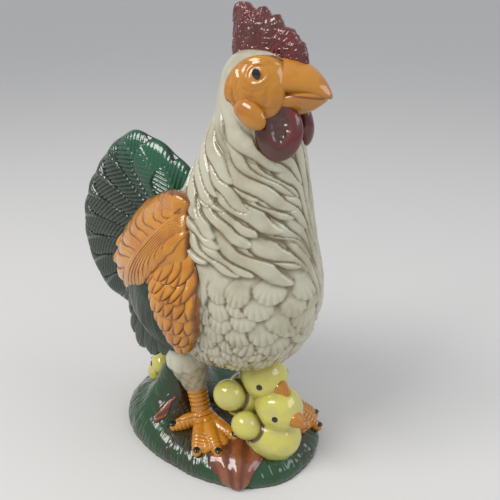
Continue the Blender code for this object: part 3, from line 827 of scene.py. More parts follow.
def plate(name, node, side, feathers, centre, glaze, thickness, outer, tuck=None):
    """A relief plate on one flank: feathers in (Y, Z) laid over a smooth outer face.

    Above the height tuck the plate sinks under its neighbour.
    """
    spots, share, height, groove = feathered_spots(feathers, centre, PLATE_RINGS, None, 1.0)
    reach = outer(spots.reshape(-1, 2)).reshape(spots.shape[:2])
    edge = 1.0 - np.sqrt(np.clip(1.0 - share ** 14.0, 0.0, 1.0))
    out = reach + blur_skin(height, 0.7) - EDGE_DROP * edge[:, None]
    if tuck:
        out = out - SUNK_DEPTH * ease(spots[:, :, 1], tuck, tuck + SUNK_OVER)
    back = reach - thickness + 0.5 * thickness * edge[:, None]
    behind = upright(side * back, spots)[::-1][1::6]
    rows = np.concatenate([upright(side * out, spots), behind])
    faces = grid_faces(len(rows), PLATE_ANGLES, True)
    faces.append(row_face(len(rows) - 1, PLATE_ANGLES))
    if side > 0:
        faces = [face[::-1] for face in faces]
    dark = np.concatenate([groove, np.full(behind.shape[:2], 0.5)])
    new_piece(name, rows, faces, glaze, [node], dark)


def fan(root, tips, bend, width, **extra):
    """Feathers from one root to a run of tips, each bent to one side, in laying order."""
    feathers = []
    for index, tip in enumerate(tips):
        start, end = np.array(root, float), np.array(tip, float)
        way = end - start
        control = start + way * 0.5 + np.array((-way[1], way[0])) * bend
        feather = {
            "curve": bezier(start, control, end), "width": width, "taper": 0.72, "narrow": 0.45, "slant": 0.8,
            "pitch": 2.2, "quill": 0.9, "lift": 1.2, "barb": 0.16, "layer": 0.12 * index,
        }
        feather.update(extra)
        feathers.append(feather)
    return feathers


def arc_points(points, count, keep_end=True):
    """Evenly spaced points along a line through a few points, with or without its last one."""
    points = np.array(points, float)
    lengths = np.concatenate([[0.0], np.cumsum(np.linalg.norm(np.diff(points, axis=0), axis=1))])
    at = np.linspace(0.0, lengths[-1], count, endpoint=keep_end)
    return np.stack([np.interp(at, lengths, points[:, 0]), np.interp(at, lengths, points[:, 1])], -1)


def build_tail():
    """The tail: a fan of broad green feathers on both faces of an upright plate, with a painted highlight on
    its upper front.
    """
    low, high = box_of("tail_fan")
    rim = arc_points([
        (23, 206), (37, 217.5), (54, 226), (69, 232), (81, 236), (94, 230), (107, 218), (120, 202),
        (133, 183), (142, 163), (145, 141), (142.5, 120), (135, 102), (122, 88.5), (104, 86),
    ], 12)[::-1]
    feathers = fan(
        (20, 160), rim, 0.14, 35.0, pitch=4.8, barb=0.75, quill=1.3, lift=1.3, slant=1.1, taper=0.86
    )
    feathers[-3].update(barb=0.22, lift=2.2)
    spots, share, height, groove = feathered_spots(feathers, (78.0, 162.0), PLATE_RINGS + 50, 9.0, 0.6)
    thickest = (high[0] - low[0]) / 2.0 - 2.0
    swell = np.sqrt(np.clip(1.0 - share ** 4.0, 0.0, 1.0)) * (0.45 + 0.55 * (1.0 - share) ** 0.5)
    out = thickest * swell[:, None] + height * (1.0 - share[:, None] ** 20.0)
    rows = np.concatenate([upright(-out, spots), upright(out, spots)[::-1][1:]])
    faces = grid_faces(len(rows), PLATE_ANGLES, True)
    dark = np.concatenate([groove, groove[::-1][1:]])
    # Painted highlight: lighter green over the tail's upper front, where its glossy top feather catches the
    # light
    painted_highlight = 0.95 * ease(rows[:, :, 2] - 0.95 * rows[:, :, 1], 118.0, 175.0)
    new_piece("tail", rows, faces, TAIL_GREEN, ["tail_fan"], dark, painted_highlight)


def build_saddle(side, name):
    """The saddle plume: curled barbs along a slanting midline, and fine strands in front of it."""
    tips = arc_points([
        (6, 208), (22, 204), (36, 199), (50, 191), (61, 181), (69, 169), (73.5, 156), (74, 142),
        (69, 131), (60, 124),
    ], 11)
    midline = arc_points([(-8, 207), (-1, 201), (7, 194), (15, 185), (23, 173), (30, 161), (37, 148)], 11)
    barbs = []
    for index, (root, tip) in enumerate(zip(midline, tips)):
        barbs += fan(
            root, [tip + RANDOM.normal(0.0, 1.0, 2)], 0.20, 17.0, pitch=3.4, barb=0.12, rope=True, lift=2.6,
            taper=0.62, narrow=0.6, layer=0.10 * (10 - index),
        )
    ends = arc_points([(60, 122), (52, 121), (42, 131), (28, 147), (15, 162), (2, 178)], 9)
    starts = arc_points([(-6, 206), (-10, 193)], 9)
    strands = []
    for start, end in zip(starts, ends):
        strands += fan(
            start, [end], 0.10, 9.0, pitch=2.0, barb=0.22, rope=True, lift=0.9, taper=0.7, narrow=0.5,
            layer=1.3,
        )
    edge = [(50, 134), (34, 136), (18, 150), (5, 168)]
    under = fan((-5, 196), edge, 0.0, 34.0, rope=True, barb=0.14, lift=0.6)
    node = "saddle_plume_" + name
    feathers = under + barbs[::-1] + strands
    plate("saddle_" + name, node, side, feathers, (33.0, 172.0), ORANGE, 10.0, fitted_side(node, side))


COVERT_ROWS = (
    # height, front Y, back Y of each row of scales' round ends
    (103.0, -9.0, -5.0), (112.0, -15.0, 3.0), (123.0, -19.0, 9.0), (136.0, -21.0, 15.0),
    (149.0, -18.0, 17.0), (160.0, -11.0, 12.0),
)


def build_coverts(side, name):
    """The wing coverts: rows of overlapping orange scales with round lower ends."""
    scales = []
    for row, (level, front, back) in enumerate(COVERT_ROWS):
        count = max(1, int(round((back - front) / 11.5)) + 1)
        for index in range(count):
            share = (index + 0.5) / count
            end = np.array((front + (back - front) * share, level)) + RANDOM.normal(0.0, 0.8, 2)
            heading = math.radians(-93.0 + 26.0 * share + RANDOM.normal(0.0, 4.0))
            way = np.array((math.cos(heading), math.sin(heading)))
            scales.append({
                "heading": heading, "root_at": end - way * SCALE_LENGTH,
                "width": SCALE_WIDTH * RANDOM.uniform(0.9, 1.1), "layer": 0.05 * row,
            })
    node = "wing_coverts_" + name
    outer = fitted_side(node, side)
    plate("wing_scales_" + name, node, side, scales, (-2.0, 144.0), ORANGE, 9.0, outer, tuck=145.0)


# The flight feathers stand off where the body curves in behind the wing
WING_TIP_REACH = 37.0


def build_flights(side, name):
    """The flight feathers: a few broad green feathers with fine lengthwise barbs."""
    tips = ((54, 118), (57, 103), (56.5, 88), (51, 77), (39, 74), (25, 79), (9, 90))
    feathers = []
    for index, tip in enumerate(tips):
        feathers += fan(
            (38.0 - 4.0 * index, 158.0 - 2.0 * index), [tip], -0.16 + 0.04 * index, 19.0, pitch=2.4,
            barb=0.4, quill=0.8, lift=0.7, taper=0.78, narrow=0.75, slant=2.4, layer=0.22 * index,
        )
    node = "wing_flights_" + name
    close = fitted_side(node, side)
    plate(
        "flight_feathers_" + name, node, side, feathers, (31.0, 112.0), TAIL_GREEN, 17.0,
        lambda points: np.maximum(close(points), WING_TIP_REACH),
    )


# ---------------------------------------------------------------- head


def build_comb():
    """The comb: a thick scalloped blade with a gritty crinkled skin."""
    low, high = box_of("comb")
    outline = closed_curve([
        (-18.5, 290), (-18, 315), (-20, 328.5), (-28, 330), (-34, 326.5), (-41, 328), (-45.5, 323.5),
        (-51, 323.5), (-55, 317.5), (-61, 316), (-65, 310.5), (-68.5, 308.5), (-71, 299), (-69, 290),
        (-55, 286), (-35, 287),
    ], 420)
    centre = outline.mean(axis=0)
    share = np.linspace(0.0, 1.0, 110) ** 0.75
    spots = rings_between(centre, outline, share)
    swell = (high[0] - low[0]) / 2.0 * (1.0 - share[:, None] ** 3.0) ** 0.5 * np.ones(len(outline))
    rows = np.concatenate([upright(-swell, spots), upright(swell, spots)[::-1][1:]])
    worms = 1.0 - np.abs(smooth_noise(rows, 2.6, 11) + 0.4 * smooth_noise(rows, 1.5, 13)) * 2.4
    grit = np.clip(worms, 0.0, 1.0) * 0.5 + smooth_noise(rows, 1.0, 12) * 0.12
    flutes = 0.5 * np.sin((rows[:, :, 1] + rows[:, :, 2] * 0.25) * 0.62) * ease(rows[:, :, 2], 298.0, 318.0)
    rise = grit - 0.2 + flutes * 0.6
    moved = rows.copy()
    moved[:, :, 0] += np.sign(rows[:, :, 0]) * ease(np.abs(rows[:, :, 0]), 0.0, 1.5) * rise
    rim = ease(np.concatenate([share, share[::-1][1:]]), 0.86, 1.0)[:, None]
    outward = rows[:, :, 1:] - centre
    outward /= np.maximum(np.linalg.norm(outward, axis=-1, keepdims=True), 1e-6)
    moved[:, :, 1:] += outward * (rise * 0.6 * rim)[:, :, None]
    faces = grid_faces(len(rows), len(outline), True)
    new_piece("crinkled_comb", moved, faces, MAROON, ["comb"], np.clip(0.55 - grit * 1.2, 0.0, 1.0))


def closed_curve(points, count):
    """Evenly spaced points on a closed smooth curve through a few points."""
    points = np.array(points, float)
    fine = []
    total = len(points)
    for index in range(total):
        a, b, c, d = (points[(index + shift) % total] for shift in (-1, 0, 1, 2))
        square, cube = 2 * a - 5 * b + 4 * c - d, 3 * b - a - 3 * c + d
        for t in np.linspace(0.0, 1.0, 16, endpoint=False):
            fine.append(0.5 * (2 * b + (c - a) * t + square * t ** 2 + cube * t ** 3))
    return arc_points(fine + [fine[0]], count, False)


def dent(points, centre, radius, depth):
    """A soft dent, or a bump where depth is negative, round a 2-D spot."""
    gap = np.linalg.norm(points - np.array(centre), axis=-1) / radius
    return -depth * np.exp(-gap ** 2)


def line_dent(points, line, width, depth):
    """A soft groove along a 2-D line of points."""
    run, off, length = along_curve(points.reshape(-1, 2), np.array(line, float))
    ends = ease(run, -width, width) * (1.0 - ease(run, length - width, length + width))
    return (-depth * np.exp(-(off / width) ** 2) * ends).reshape(points.shape[:-1])


EYE = (-51.5, 293.5)
# Folds of the cheek: a line of (Y, Z) points, its width and its depth
CHEEK_FOLDS = (
    (((-36, 285), (-37.5, 277), (-43, 271.5), (-53, 269.5)), 1.1, 0.9),
    (((-37, 298), (-41, 291), (-39.5, 284), (-43, 280)), 1.0, 0.45),
    (((-58, 287), (-58.5, 280), (-55, 274)), 1.1, 0.5),
    (((-56, 300), (-58, 294), (-61, 288)), 1.0, 0.5),
    (((-44, 285), (-50, 283.5), (-56, 285)), 0.9, 0.3),
)
CHEEK_DEPTH = 7.0


def build_face(side, name):
    """The bare orange cheek with its folds, the eye ring and the painted eye."""
    node = "face_patch_" + name
    outer = fitted_side(node, side)
    outline = closed_curve([
        (-50, 303), (-41, 301), (-33, 296), (-28.5, 287), (-28.5, 277), (-33, 269), (-42, 265),
        (-51, 265.5), (-58, 267), (-63, 274), (-65, 284), (-63, 294), (-58, 301),
    ], 300)
    share = np.linspace(0.0, 1.0, 90) ** 0.8
    spots = rings_between(outline.mean(axis=0), outline, share)
    folds = sum(line_dent(spots, line, width, depth) for line, width, depth in CHEEK_FOLDS)
    gap = np.linalg.norm((spots - np.array(EYE)) / np.array((1.15, 1.0)), axis=-1)
    ring = 0.55 * np.exp(-((gap - 5.4) / 1.1) ** 2) + 0.4 * np.exp(-(gap / 3.2) ** 2)
    lobes = dent(spots, (-33, 281), 5.0, -0.7) + dent(spots, (-48, 277), 6.0, -0.9)
    edge = 1.0 - np.sqrt(np.clip(1.0 - share ** 10.0, 0.0, 1.0))
    reach = outer(spots.reshape(-1, 2)).reshape(spots.shape[:2])
    out = reach + folds + ring + lobes - 4.0 * edge[:, None] - 0.5
    grit = (1.0 - ease(-spots[:, :, 0], 33.0, 40.0)) * 0.35
    out = out + smooth_noise(upright(out, spots), 2.6, 21) * (0.12 + grit)
    front = upright(side * out, spots)
    back = front[::-1][1::8] - np.array((side * CHEEK_DEPTH, 0.0, 0.0))
    rows = np.concatenate([front, back])
    faces = grid_faces(len(rows), len(outline), True)
    faces.append(row_face(len(rows) - 1, len(outline)))
    if side > 0:
        faces = [face[::-1] for face in faces]
    dark = np.concatenate([np.clip(-folds * 0.55, 0.0, 1.0), np.zeros(back.shape[:2])])
    new_piece("cheek_" + name, rows, faces, FACE, [node], dark)
    eye_at = side * (outer(np.array([EYE]))[0] + 0.3)
    clay("eye_" + name, [((eye_at, *EYE), (0.9, 2.9, 3.5), None)], [], 0.25, 2, PAINT)


WATTLE_Y = {"right": -61.5, "left": -56.0}


def build_lobe_and_wattle(side, name):
    """The smooth ear lobe and the dished red wattle."""
    centre = centre_and_size("ear_lobe_" + name)[0] + np.array((-side * 1.5, -3.0, 2.5))
    tilt = Matrix.Rotation(math.radians(30.0), 3, "X")
    clay("lobe_" + name, [(centre, (5.0, 11.5, 7.4), tilt)], [], 0.45, 4, FACE, ["ear_lobe_" + name])
    middle = (side * 15.5, WATTLE_Y[name], centre_and_size("wattle_" + name)[0][2] + 3.5)
    lean = Matrix.Rotation(side * math.radians(-12.0), 3, "Y")
    turn = Matrix.Rotation(side * math.radians(-24.0), 3, "Z") @ lean
    face_way = np.array(turn @ Vector((side, 0.0, 0.0)))
    forward = np.array(turn @ Vector((0.0, -1.0, 0.0)))
    upward = np.array(turn @ Vector((0.0, 0.0, 1.0)))

    def dished(points, normals):
        gap = points - np.array(middle)
        ahead = gap @ forward - 1.5
        above = gap @ upward - 2.5
        narrow = 6.4 * (0.62 + 0.38 * ease(above, -11.0, 2.0))
        reach = np.sqrt((ahead / narrow) ** 2 + (above / 10.5) ** 2)
        front = ease(normals @ face_way, 0.1, 0.6)
        inside = np.exp(-reach ** 4) * front
        rough = smooth_noise(points, 1.7, 31) * 0.5 * inside + smooth_noise(points, 6.0, 32) * 0.2
        return rough - 3.0 * inside, np.exp(-(reach * 0.96) ** 6) * front

    nodes = ["wattle_" + name]
    clay("wattle_disc_" + name, [(middle, (7.4, 14.6, 17.6), turn)], [], 0.5, 3, MAROON, nodes, dished)


# Ovals along each half of the beak: Y and Z of the middle, half width and half height
UPPER_BEAK = (
    (-48.0, 285.5, 22.5, 15.5), (-58.0, 286.8, 20.0, 15.0), (-67.0, 287.4, 16.0, 12.6),
    (-75.0, 286.4, 11.4, 9.6), (-80.5, 284.4, 7.6, 7.0), (-84.5, 282.2, 4.6, 4.6), (-87.0, 280.6, 1.9, 2.2),
)
LOWER_BEAK = (
    (-44.0, 276.5, 20.5, 11.5), (-57.0, 277.8, 18.4, 12.0), (-67.0, 279.4, 15.2, 11.4),
    (-75.0, 280.8, 11.4, 9.6), (-80.5, 281.6, 7.6, 6.8), (-84.0, 281.4, 3.6, 3.8),
)
MOUTH_HEIGHT = 281.6
NOSTRIL = (10.0, -70.0, 291.5)


def build_beak():
    """The beak's two halves, with a sharp ridge, nostrils and the line of the mouth between."""
    skin_beak("beak_top", UPPER_BEAK, "beak_upper", 1.0)
    skin_beak("beak_bottom", LOWER_BEAK, "beak_lower", -1.0)


def skin_beak(name, stations, node, up):
    """A beak half: ovals that narrow to a ridge on the outer side and flatten at the mouth."""
    rows, columns = 120, 140
    at = np.linspace(0.0, 1.0, rows)
    known = np.linspace(0.0, 1.0, len(stations))
    y, z, wide, high = (
        blur(np.interp(at, known, values), 5.0, 0, False)[:, None] for values in zip(*stations)
    )
    angles = np.linspace(0.0, 2.0 * math.pi, columns, endpoint=False)
    tall = np.cos(angles)
    pinch = 1.0 - 0.16 * np.where(tall * up > 0.0, 1.0, 0.0) * np.abs(tall) ** 1.5
    flat = np.where(tall * up < 0.0, 0.55, 1.0)
    y = y * np.ones((1, columns))
    z = z + high * (tall * flat)[None]
    points = np.stack([wide * (np.sin(angles) * pinch)[None], y, z], -1)
    pit = np.zeros((rows, columns))
    if up > 0:
        for side in (-1.0, 1.0):
            gap = np.linalg.norm(points - np.array(NOSTRIL) * np.array((side, 1.0, 1.0)), axis=-1)
            pit += np.exp(-(gap / 1.8) ** 2)
        points += grid_normals(points) * (pit * 0.8)[:, :, None]
    points += grid_normals(points) * (smooth_noise(points, 7.0, 41) * 0.22)[:, :, None]
    faces = grid_faces(rows, columns, True)
    faces.append(row_face(0, columns)[::-1])
    faces.append(row_face(rows - 1, columns))
    mouth = np.exp(-((z - MOUTH_HEIGHT - 0.12 * (y + 70.0)) / 0.9) ** 2) * ease(-y, 60.0, 65.0)
    new_piece(name, points, faces, FACE, [node], np.clip(pit * 0.9 + mouth, 0.0, 1.0))


# ---------------------------------------------------------------- legs and chicks


def leg_line(name):
    """Which side a leg is on, its ankle and the top of its shank, from the CAD shank's box."""
    low, high = box_of("shank_" + name)
    outside = low[0] if name == "right" else high[0]
    side = -1.0 if name == "right" else 1.0
    ankle = np.array((outside - side * 8.0, low[1] + 8.0, low[2] + 2.5))
    top = np.array((outside - side * 14.0, high[1] - 8.0, high[2] - 1.0))
    return side, ankle, top


def rings_on(points, start, end, pitch, depth):
    """Scute rings along a limb: shallow grooves across it."""
    way = end - start
    length = np.linalg.norm(way)
    run = (points - start) @ (way / length)
    inside = ease(run, -4.0, 2.0) * (1.0 - ease(run, length - 1.0, length + 4.0))
    ridge = np.abs(np.sin(math.pi * run / pitch))
    return (ridge - 0.6) * depth * inside, (1.0 - ridge) ** 2 * inside


def build_thigh(name, hip, top):
    """The thigh, covered in small scalloped feathers."""
    way = (top - hip) / np.linalg.norm(top - hip)

    def feathered(points, normals):
        height = np.zeros(len(points))
        groove = np.zeros(len(points))
        run = (points - hip) @ way
        flat = points - hip - run[:, None] * way
        turn = np.arctan2(flat[:, 0], -flat[:, 1])
        for row in range(1, 7):
            for index in range(9):
                middle = 2.0 * math.pi * (index + 0.5 * (row % 2)) / 9.0
                across = centred(turn - middle) * 14.0
                inside, rise, dark = scallop_shape(across, run - (40.0 - row * 8.0), 13.0, 12.0, 13.0)
                height = np.where(inside, rise, height)
                groove = np.where(inside, dark, groove)
        return height * 0.55 - 0.3, groove * 0.5

    limb = [(hip, 16.5), ((hip + top) / 2.0, 13.0), (top, 9.8)]
    clay("thigh_feathers_" + name, [], [limb], 0.8, 4, WHITE, ["thigh_" + name], feathered)


# The right foot's toes: heading in degrees from straight ahead, positive to the left, and length
TOES = {"inner": (-6.0, 34.0), "middle": (-35.0, 39.0), "outer": (-60.0, 34.0), "hind": (-121.0, 25.0)}
# How far each foot is turned from its mirror image, in degrees, and how its toes are stretched
FOOT_TURN = {"right": (0.0, 1.0), "left": (-24.0, 0.9)}
# Shares of a toe's length, and its radius there
TOE_SHAPE = ((0.0, 7.4), (0.3, 6.4), (0.6, 6.0), (0.85, 5.0), (1.0, 3.6))


def lay_toes(name, side, foot_centre):
    """The toes as limbs laid on the mound, and each claw's place and angle."""
    ground = surface_of("base_mound")
    turn, stretch = FOOT_TURN[name]
    toes, claws = [], []
    for heading, length in TOES.values():
        angle = math.radians(-side * heading + turn)
        forward = np.array((math.sin(angle), -math.cos(angle), 0.0))
        joints = []
        for share, radius in TOE_SHAPE:
            spot = foot_centre + forward * length * stretch * share
            hit = ground.ray_cast(Vector((spot[0], spot[1], 120.0)), Vector((0.0, 0.0, -1.0)))[0]
            spot[2] = (hit.z if hit else 6.0) + 2.4 + 4.0 * (1.0 - share) ** 2
            joints.append((spot, radius))
        toes.append(joints)
        claws.append((joints[-1][0] + forward * 0.5 + np.array((0.0, 0.0, 3.3)), angle))
    return toes, claws


def webs_between(toes, foot_centre):
    """The webs between the three front toes."""
    webs = []
    for first, second in zip(toes, toes[1:3]):
        web = [(foot_centre, 5.5)]
        for (a, _), (b, _) in list(zip(first, second))[1:4]:
            web.append(((a + b) / 2.0 - np.array((0.0, 0.0, 1.5)), 5.4))
        webs.append(web)
    return webs


def build_leg(name):
    """The feathered thigh, the ringed shank, the toes and their painted claws."""
    side, ankle, top = leg_line(name)
    low, high = box_of("thigh_" + name)
    build_thigh(name, np.array((side * 27.0, (low[1] + high[1]) / 2.0 - 1.0, high[2] - 6.0)), top)
    foot_centre = ankle + np.array((0.0, -1.0, 0.0))
    toes, claws = lay_toes(name, side, foot_centre)

    def ringed(points, normals):
        height, groove = rings_on(points, ankle, top, 3.4, 0.5)
        upper = points[:, 2] > ankle[2] + 4.0
        height = np.where(upper, height, 0.0)
        groove = np.where(upper, groove, 0.0)
        for joints in toes:
            start, end = joints[1][0], joints[-1][0]
            length = np.linalg.norm(end - start)
            way = (end - start) / length
            run = (points - start) @ way
            off = np.linalg.norm(points - start - run[:, None] * way, axis=1)
            near = (off < 7.5) & ~upper & (run > 0.0) & (run < length + 2.0)
            ridge = np.abs(np.sin(math.pi * run / 3.0))
            height = np.where(near, (ridge - 0.6) * 0.4, height)
            groove = np.where(near, (1.0 - ridge) ** 2 * 0.7, groove)
        crease = ease(8.0 - np.abs(points[:, 2] - ankle[2] + 3.0), 0.0, 8.0) * 0.1
        return height, np.clip(groove + crease, 0.0, 1.0)

    heel = (foot_centre + np.array((0.0, 0.0, 1.0)), (10.0, 10.0, 8.0), None)
    shank = [(ankle, 8.2), ((ankle + top) / 2.0, 8.0), (top, 8.8)]
    limbs = toes + webs_between(toes, foot_centre) + [shank]
    nodes = ["foot_" + name, "shank_" + name]
    clay("leg_and_toes_" + name, [heel], limbs, 0.6, 3, ORANGE, nodes, ringed)
    for index, (spot, angle) in enumerate(claws):
        turned = Matrix.Rotation(angle, 3, "Z")
        clay(f"claw_{name}_{index + 1}", [(spot, (2.6, 3.5, 1.7), turned)], [], 0.3, 2, PAINT)


def ball_in(node, cut_off=True):
    """Centre and radii of the ball in a CAD node's box; a ball cut off below keeps its width."""
    low, high = box_of(node)
    middle = (low + high) / 2.0
    radii = (high - low) / 2.0
    if cut_off:
        middle[2] = high[2] - radii[0]
        radii[2] = radii[0]
    return middle, radii


# How far along a chick's beak lies in head radii, and its radius there as a share of the head's
CHICK_BEAK = ((0.72, 0.42), (1.08, 0.34), (1.36, 0.17))
# Each chick and its heading in degrees from straight ahead
CHICKS = {"chick_front": -12.0, "chick_upper": -12.0, "chick_rear": 175.0}


def build_chick(name, heading):
    """One chick: a body and a head fused like soft clay, a wing lump, a beak and painted eyes."""
    body, body_radii = ball_in(name + "_body")
    head, head_radii = ball_in(name + "_head")
    reach = head_radii[0] * 1.06
    balls = [
        (body, body_radii * np.array((1.04, 1.04, 1.0)), None),
        (head, (reach, reach * 1.06, reach), None),
    ]
    wing = ball_in(name + "_wing", False) if name + "_wing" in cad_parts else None

    def fluff(points, normals):
        ruffle = smooth_noise(points, 5.0, 51) * 0.3
        dark = 0.6 * np.exp(-((points[:, 2] - (head[2] - reach * 0.8)) / 2.5) ** 2) * (normals[:, 2] < 0.2)
        if wing:
            away = np.linalg.norm((points - wing[0]) / wing[1], axis=1)
            dark = np.maximum(dark, 1.1 * np.exp(-((away - 1.12) / 0.16) ** 2))
        return ruffle, np.clip(dark, 0.0, 1.0)

    clay(name + "_down", balls, [], 0.7, 8, YELLOW, [name + "_body", name + "_head"], fluff)
    if wing:
        build_chick_wing(name, *wing)
    angle = math.radians(heading)
    forward = np.array((math.sin(angle), -math.cos(angle), -0.06))
    stations = [(head + forward * reach * along, reach * radius) for along, radius in CHICK_BEAK]
    clay(name + "_bill", [], [stations], 0.4, 4, FACE, [name + "_beak"])
    leftward = np.array((math.cos(angle), math.sin(angle), 0.0))
    for side, label in ((-1.0, "right"), (1.0, "left")):
        way = forward * 0.54 + leftward * side * 0.82 + np.array((0.0, 0.0, 0.18))
        way /= np.linalg.norm(way)
        spot = head + way * reach * np.array((1.0, 1.06, 1.0)) * 0.985
        turn = Vector(way).to_track_quat("Z", "Y").to_matrix()
        clay(f"{name}_eye_{label}", [(spot, (2.4, 2.4, 0.8), turn)], [], 0.25, 2, PAINT)


def build_chick_wing(name, middle, radii):
    """A chick's wing: a soft lump, browner round its edge."""
    turn = Matrix.Rotation(math.radians(18.0), 3, "Z") @ Matrix.Rotation(math.radians(20.0), 3, "X")

    def rimmed(points, normals):
        rim = ease(np.linalg.norm((points - middle) / radii, axis=1), 1.02, 1.16) * 0.5
        return np.zeros(len(points)), rim

    ball = (middle, radii * np.array((1.0, 1.0, 0.96)), turn)
    clay(name + "_wing_lump", [ball], [], 0.5, 5, YELLOW, [name + "_wing"], rimmed)


# ---------------------------------------------------------------- mound and leaves

BASE_ROWS, BASE_COLUMNS = 300, 620
# Where the rays that find the mound's skin start
BASE_HEART = (-4.0, 14.0, 3.5)
# CAD nodes with bare brown earth round them, and how far it spreads
BARE_SPOTS = (("foot_right", 15.0), ("foot_left", 12.0), ("chick_front_body", 12.0), ("shank_right", 16.0))


def grass_relief(points):
    """Brushed grass strokes round the mound's sides, over soft lumps."""
    angles = np.linspace(0.0, 2.0 * math.pi, BASE_COLUMNS, endpoint=False)
    around = angles[None, :] * 70.0 + smooth_noise(points, 30.0, 61) * 2.0
    strokes = smooth_noise(np.stack([around, points[:, :, 2] / 9.0, around * 0.0], -1), 1.0, 66)
    side = 1.0 - ease(points[:, :, 2], 14.0, 34.0)
    relief = 0.42 * strokes * (0.35 + 0.65 * side) + smooth_noise(points, 8.0, 62) * 0.55
    return relief + smooth_noise(points, 3.0, 63) * 0.22


def bare_earth(points):
    """How brown the mound is: in patches, round the feet and the front chick, and on its ridge."""
    x, y, z = points[:, :, 0], points[:, :, 1], points[:, :, 2]
    brown = 0.04 + 0.55 * smooth_noise(points, 24.0, 64) - 0.3 * np.abs(smooth_noise(points, 5.0, 65))
    for node, spread in BARE_SPOTS:
        centre, size = centre_and_size(node)
        gap = (np.abs(points[:, :, :2] - centre[:2]) - size[:2] / 2.0).clip(0.0)
        brown = brown + 0.75 * np.exp(-(np.linalg.norm(gap, axis=-1) / spread) ** 2 * 4.0) * (z > 14.0)
    brown = brown + 0.05 * ease(y, -5.0, 30.0) * ease(-x, 5.0, 40.0)
    return np.clip(brown + 0.8 * ease(z, 34.0, 44.0) * ease(-y, -44.0, -26.0), 0.0, 1.0)


def build_base():
    """The grassy mound, closed underneath."""
    tree = surface_of("base_mound")
    rows, columns = 70, 96
    coarse = np.zeros((rows, columns, 3))
    for row in range(rows):
        lift = math.radians(88.0) * (1.0 - (row / (rows - 1)) ** 0.9)
        for column in range(columns):
            way = way_out(2.0 * math.pi * column / columns, lift)
            coarse[row, column] = outermost(tree, Vector(BASE_HEART), way)
    points = refine(coarse, BASE_ROWS, BASE_COLUMNS)
    normal = grid_normals(points)
    inward = (normal * (points - np.array(BASE_HEART))).sum(-1, keepdims=True) < 0
    moved = points + np.where(inward, -normal, normal) * grass_relief(points)[:, :, None]
    foot = moved[-1:].copy()
    foot[:, :, 2] = 0.0
    skin = np.concatenate([moved, foot, foot * np.array((0.9, 0.9, 1.0))])
    faces = [face[::-1] for face in grid_faces(len(skin), BASE_COLUMNS, True)]
    faces.append(row_face(0, BASE_COLUMNS))
    faces.append(row_face(len(skin) - 1, BASE_COLUMNS)[::-1])
    new_piece("grassy_mound", skin, faces, GRASS, ["base_mound"], bare_earth(skin))


# Each leaf: how closely its veins lie, its heading in degrees and how far its tip is pinched
LEAVES = {"leaf_front": (17.0, -53.0, 0.42), "leaf_side": (16.0, -107.0, 0.0)}


def build_leaf(node, veins, heading, pinch):
    """A fallen leaf: its CAD solid softened, narrowed towards its tip and veined."""
    done = fused(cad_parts[node].data.copy(), 0.5, 5)
    points, normals = points_of(done)
    low, high = points.min(axis=0)[:2], points.max(axis=0)[:2]
    middle = (low + high) / 2.0
    tip_way = np.array((math.sin(heading), -math.cos(heading)))
    across_way = np.array((-tip_way[1], tip_way[0]))
    stem = middle + tip_way * (np.linalg.norm(high - low) * 0.62)
    reach = (points[:, :2] - middle) @ tip_way
    span = max(reach.max(), -reach.min())
    squeeze = 1.0 - 0.85 * ease(reach / span, -0.15, 1.0) * pinch
    across = ((points[:, :2] - middle) @ across_way) * squeeze
    points[:, :2] = middle + reach[:, None] * tip_way + across[:, None] * across_way
    gap = points[:, :2] - stem
    angle = np.arctan2(gap @ across_way, -gap @ tip_way)
    ridge = np.cos(angle * veins + smooth_noise(points, 9.0, 71) * 0.6)
    rise = ridge * 0.3 * ease(normals[:, 2], 0.0, 0.5) + 0.3 + smooth_noise(points, 7.0, 72) * 0.4
    move_points(done, points + normals * rise[:, None])
    paint_mesh(done, "groove", 0.5 - 0.5 * ridge)
    place_piece(node + "_veined", done, LEAF, [node])


# ---------------------------------------------------------------- stage

VIEW_TURN, VIEW_PITCH = math.radians(55.0), math.radians(25.0)
CAMERA_DISTANCE, CAMERA_HEIGHT, CAMERA_SHIFT = 388.0, 342.0, 24.6
FOCAL_SHARE = 1.162


def build_camera():
    """A camera above and in front of the hen's right side, looking down at it."""
    ahead = Vector((math.sin(VIEW_TURN), math.cos(VIEW_TURN), 0.0))
    right = Vector((math.cos(VIEW_TURN), -math.sin(VIEW_TURN), 0.0))
    up = Vector((0.0, 0.0, 1.0))
    look = ahead * math.cos(VIEW_PITCH) - up * math.sin(VIEW_PITCH)
    top = ahead * math.sin(VIEW_PITCH) + up * math.cos(VIEW_PITCH)
    data = bpy.data.cameras.new("camera")
    data.sensor_width = 36.0
    data.lens = 36.0 * FOCAL_SHARE
    camera = bpy.data.objects.new("camera", data)
    bpy.context.scene.collection.objects.link(camera)
    turn = Matrix((right, top, -look)).transposed().to_4x4()
    turn.translation = (ahead * -CAMERA_DISTANCE + right * CAMERA_SHIFT + up * CAMERA_HEIGHT) * MM
    camera.matrix_world = turn
    data.clip_start = 0.01
    bpy.context.scene.camera = camera


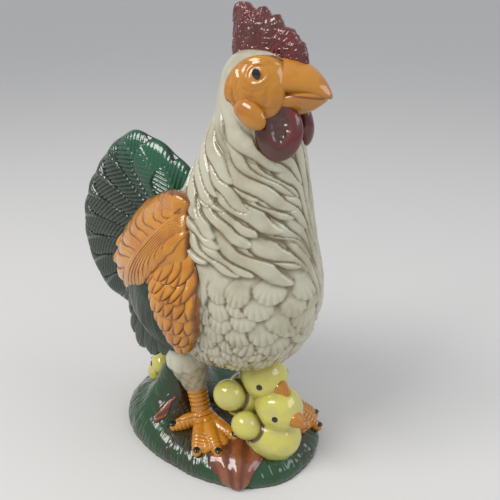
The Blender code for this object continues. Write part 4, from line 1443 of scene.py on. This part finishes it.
def build_light(name, place, target, size, power, colour):
    """A soft rectangular lamp that points at a target."""
    data = bpy.data.lights.new(name, "AREA")
    data.shape = "RECTANGLE"
    data.size, data.size_y = size
    data.energy = power
    data.color = colour
    lamp = bpy.data.objects.new(name, data)
    bpy.context.scene.collection.objects.link(lamp)
    lamp.location = place
    lamp.rotation_euler = (Vector(target) - Vector(place)).to_track_quat("-Z", "Y").to_euler()


def build_stage():
    """A plain pale floor, one broad window light from the rear left and soft fill."""
    mesh = bpy.data.meshes.new("floor")
    mesh.from_pydata([(-30, -30, 0), (30, -30, 0), (30, 30, 0), (-30, 30, 0)], [], [(0, 1, 2, 3)])
    floor = bpy.data.objects.new("floor", mesh)
    bpy.context.scene.collection.objects.link(floor)
    material = bpy.data.materials.new("pale_floor")
    material.use_nodes = True
    shader = material.node_tree.nodes["Principled BSDF"]
    shader.inputs["Base Color"].default_value = (0.68, 0.67, 0.65, 1.0)
    shader.inputs["Roughness"].default_value = 0.9
    mesh.materials.append(material)
    world = bpy.data.worlds.new("world")
    world.use_nodes = True
    world.node_tree.nodes["Background"].inputs["Color"].default_value = (0.93, 0.95, 1.0, 1.0)
    world.node_tree.nodes["Background"].inputs["Strength"].default_value = 0.60
    bpy.context.scene.world = world
    build_light("window", (-0.75, 0.35, 1.15), (0.0, 0.0, 0.16), (0.7, 0.5), 10.5, (1.0, 0.98, 0.95))
    build_light("fill", (0.3, -1.1, 0.9), (0.0, 0.0, 0.15), (0.9, 0.6), 4.6, (0.96, 0.98, 1.0))
    bpy.context.scene.view_settings.view_transform = "Standard"


def build_all():
    """Every piece of the figure, then the camera and the stage."""
    build_base()
    build_trunk()
    build_tail()
    build_comb()
    build_beak()
    for side, name in ((-1.0, "right"), (1.0, "left")):
        build_saddle(side, name)
        build_coverts(side, name)
        build_flights(side, name)
        build_face(side, name)
        build_lobe_and_wattle(side, name)
        build_leg(name)
    for name, heading in CHICKS.items():
        build_chick(name, heading)
    for node, (veins, heading, pinch) in LEAVES.items():
        build_leaf(node, veins, math.radians(heading), pinch)
    build_camera()
    build_stage()


build_all()
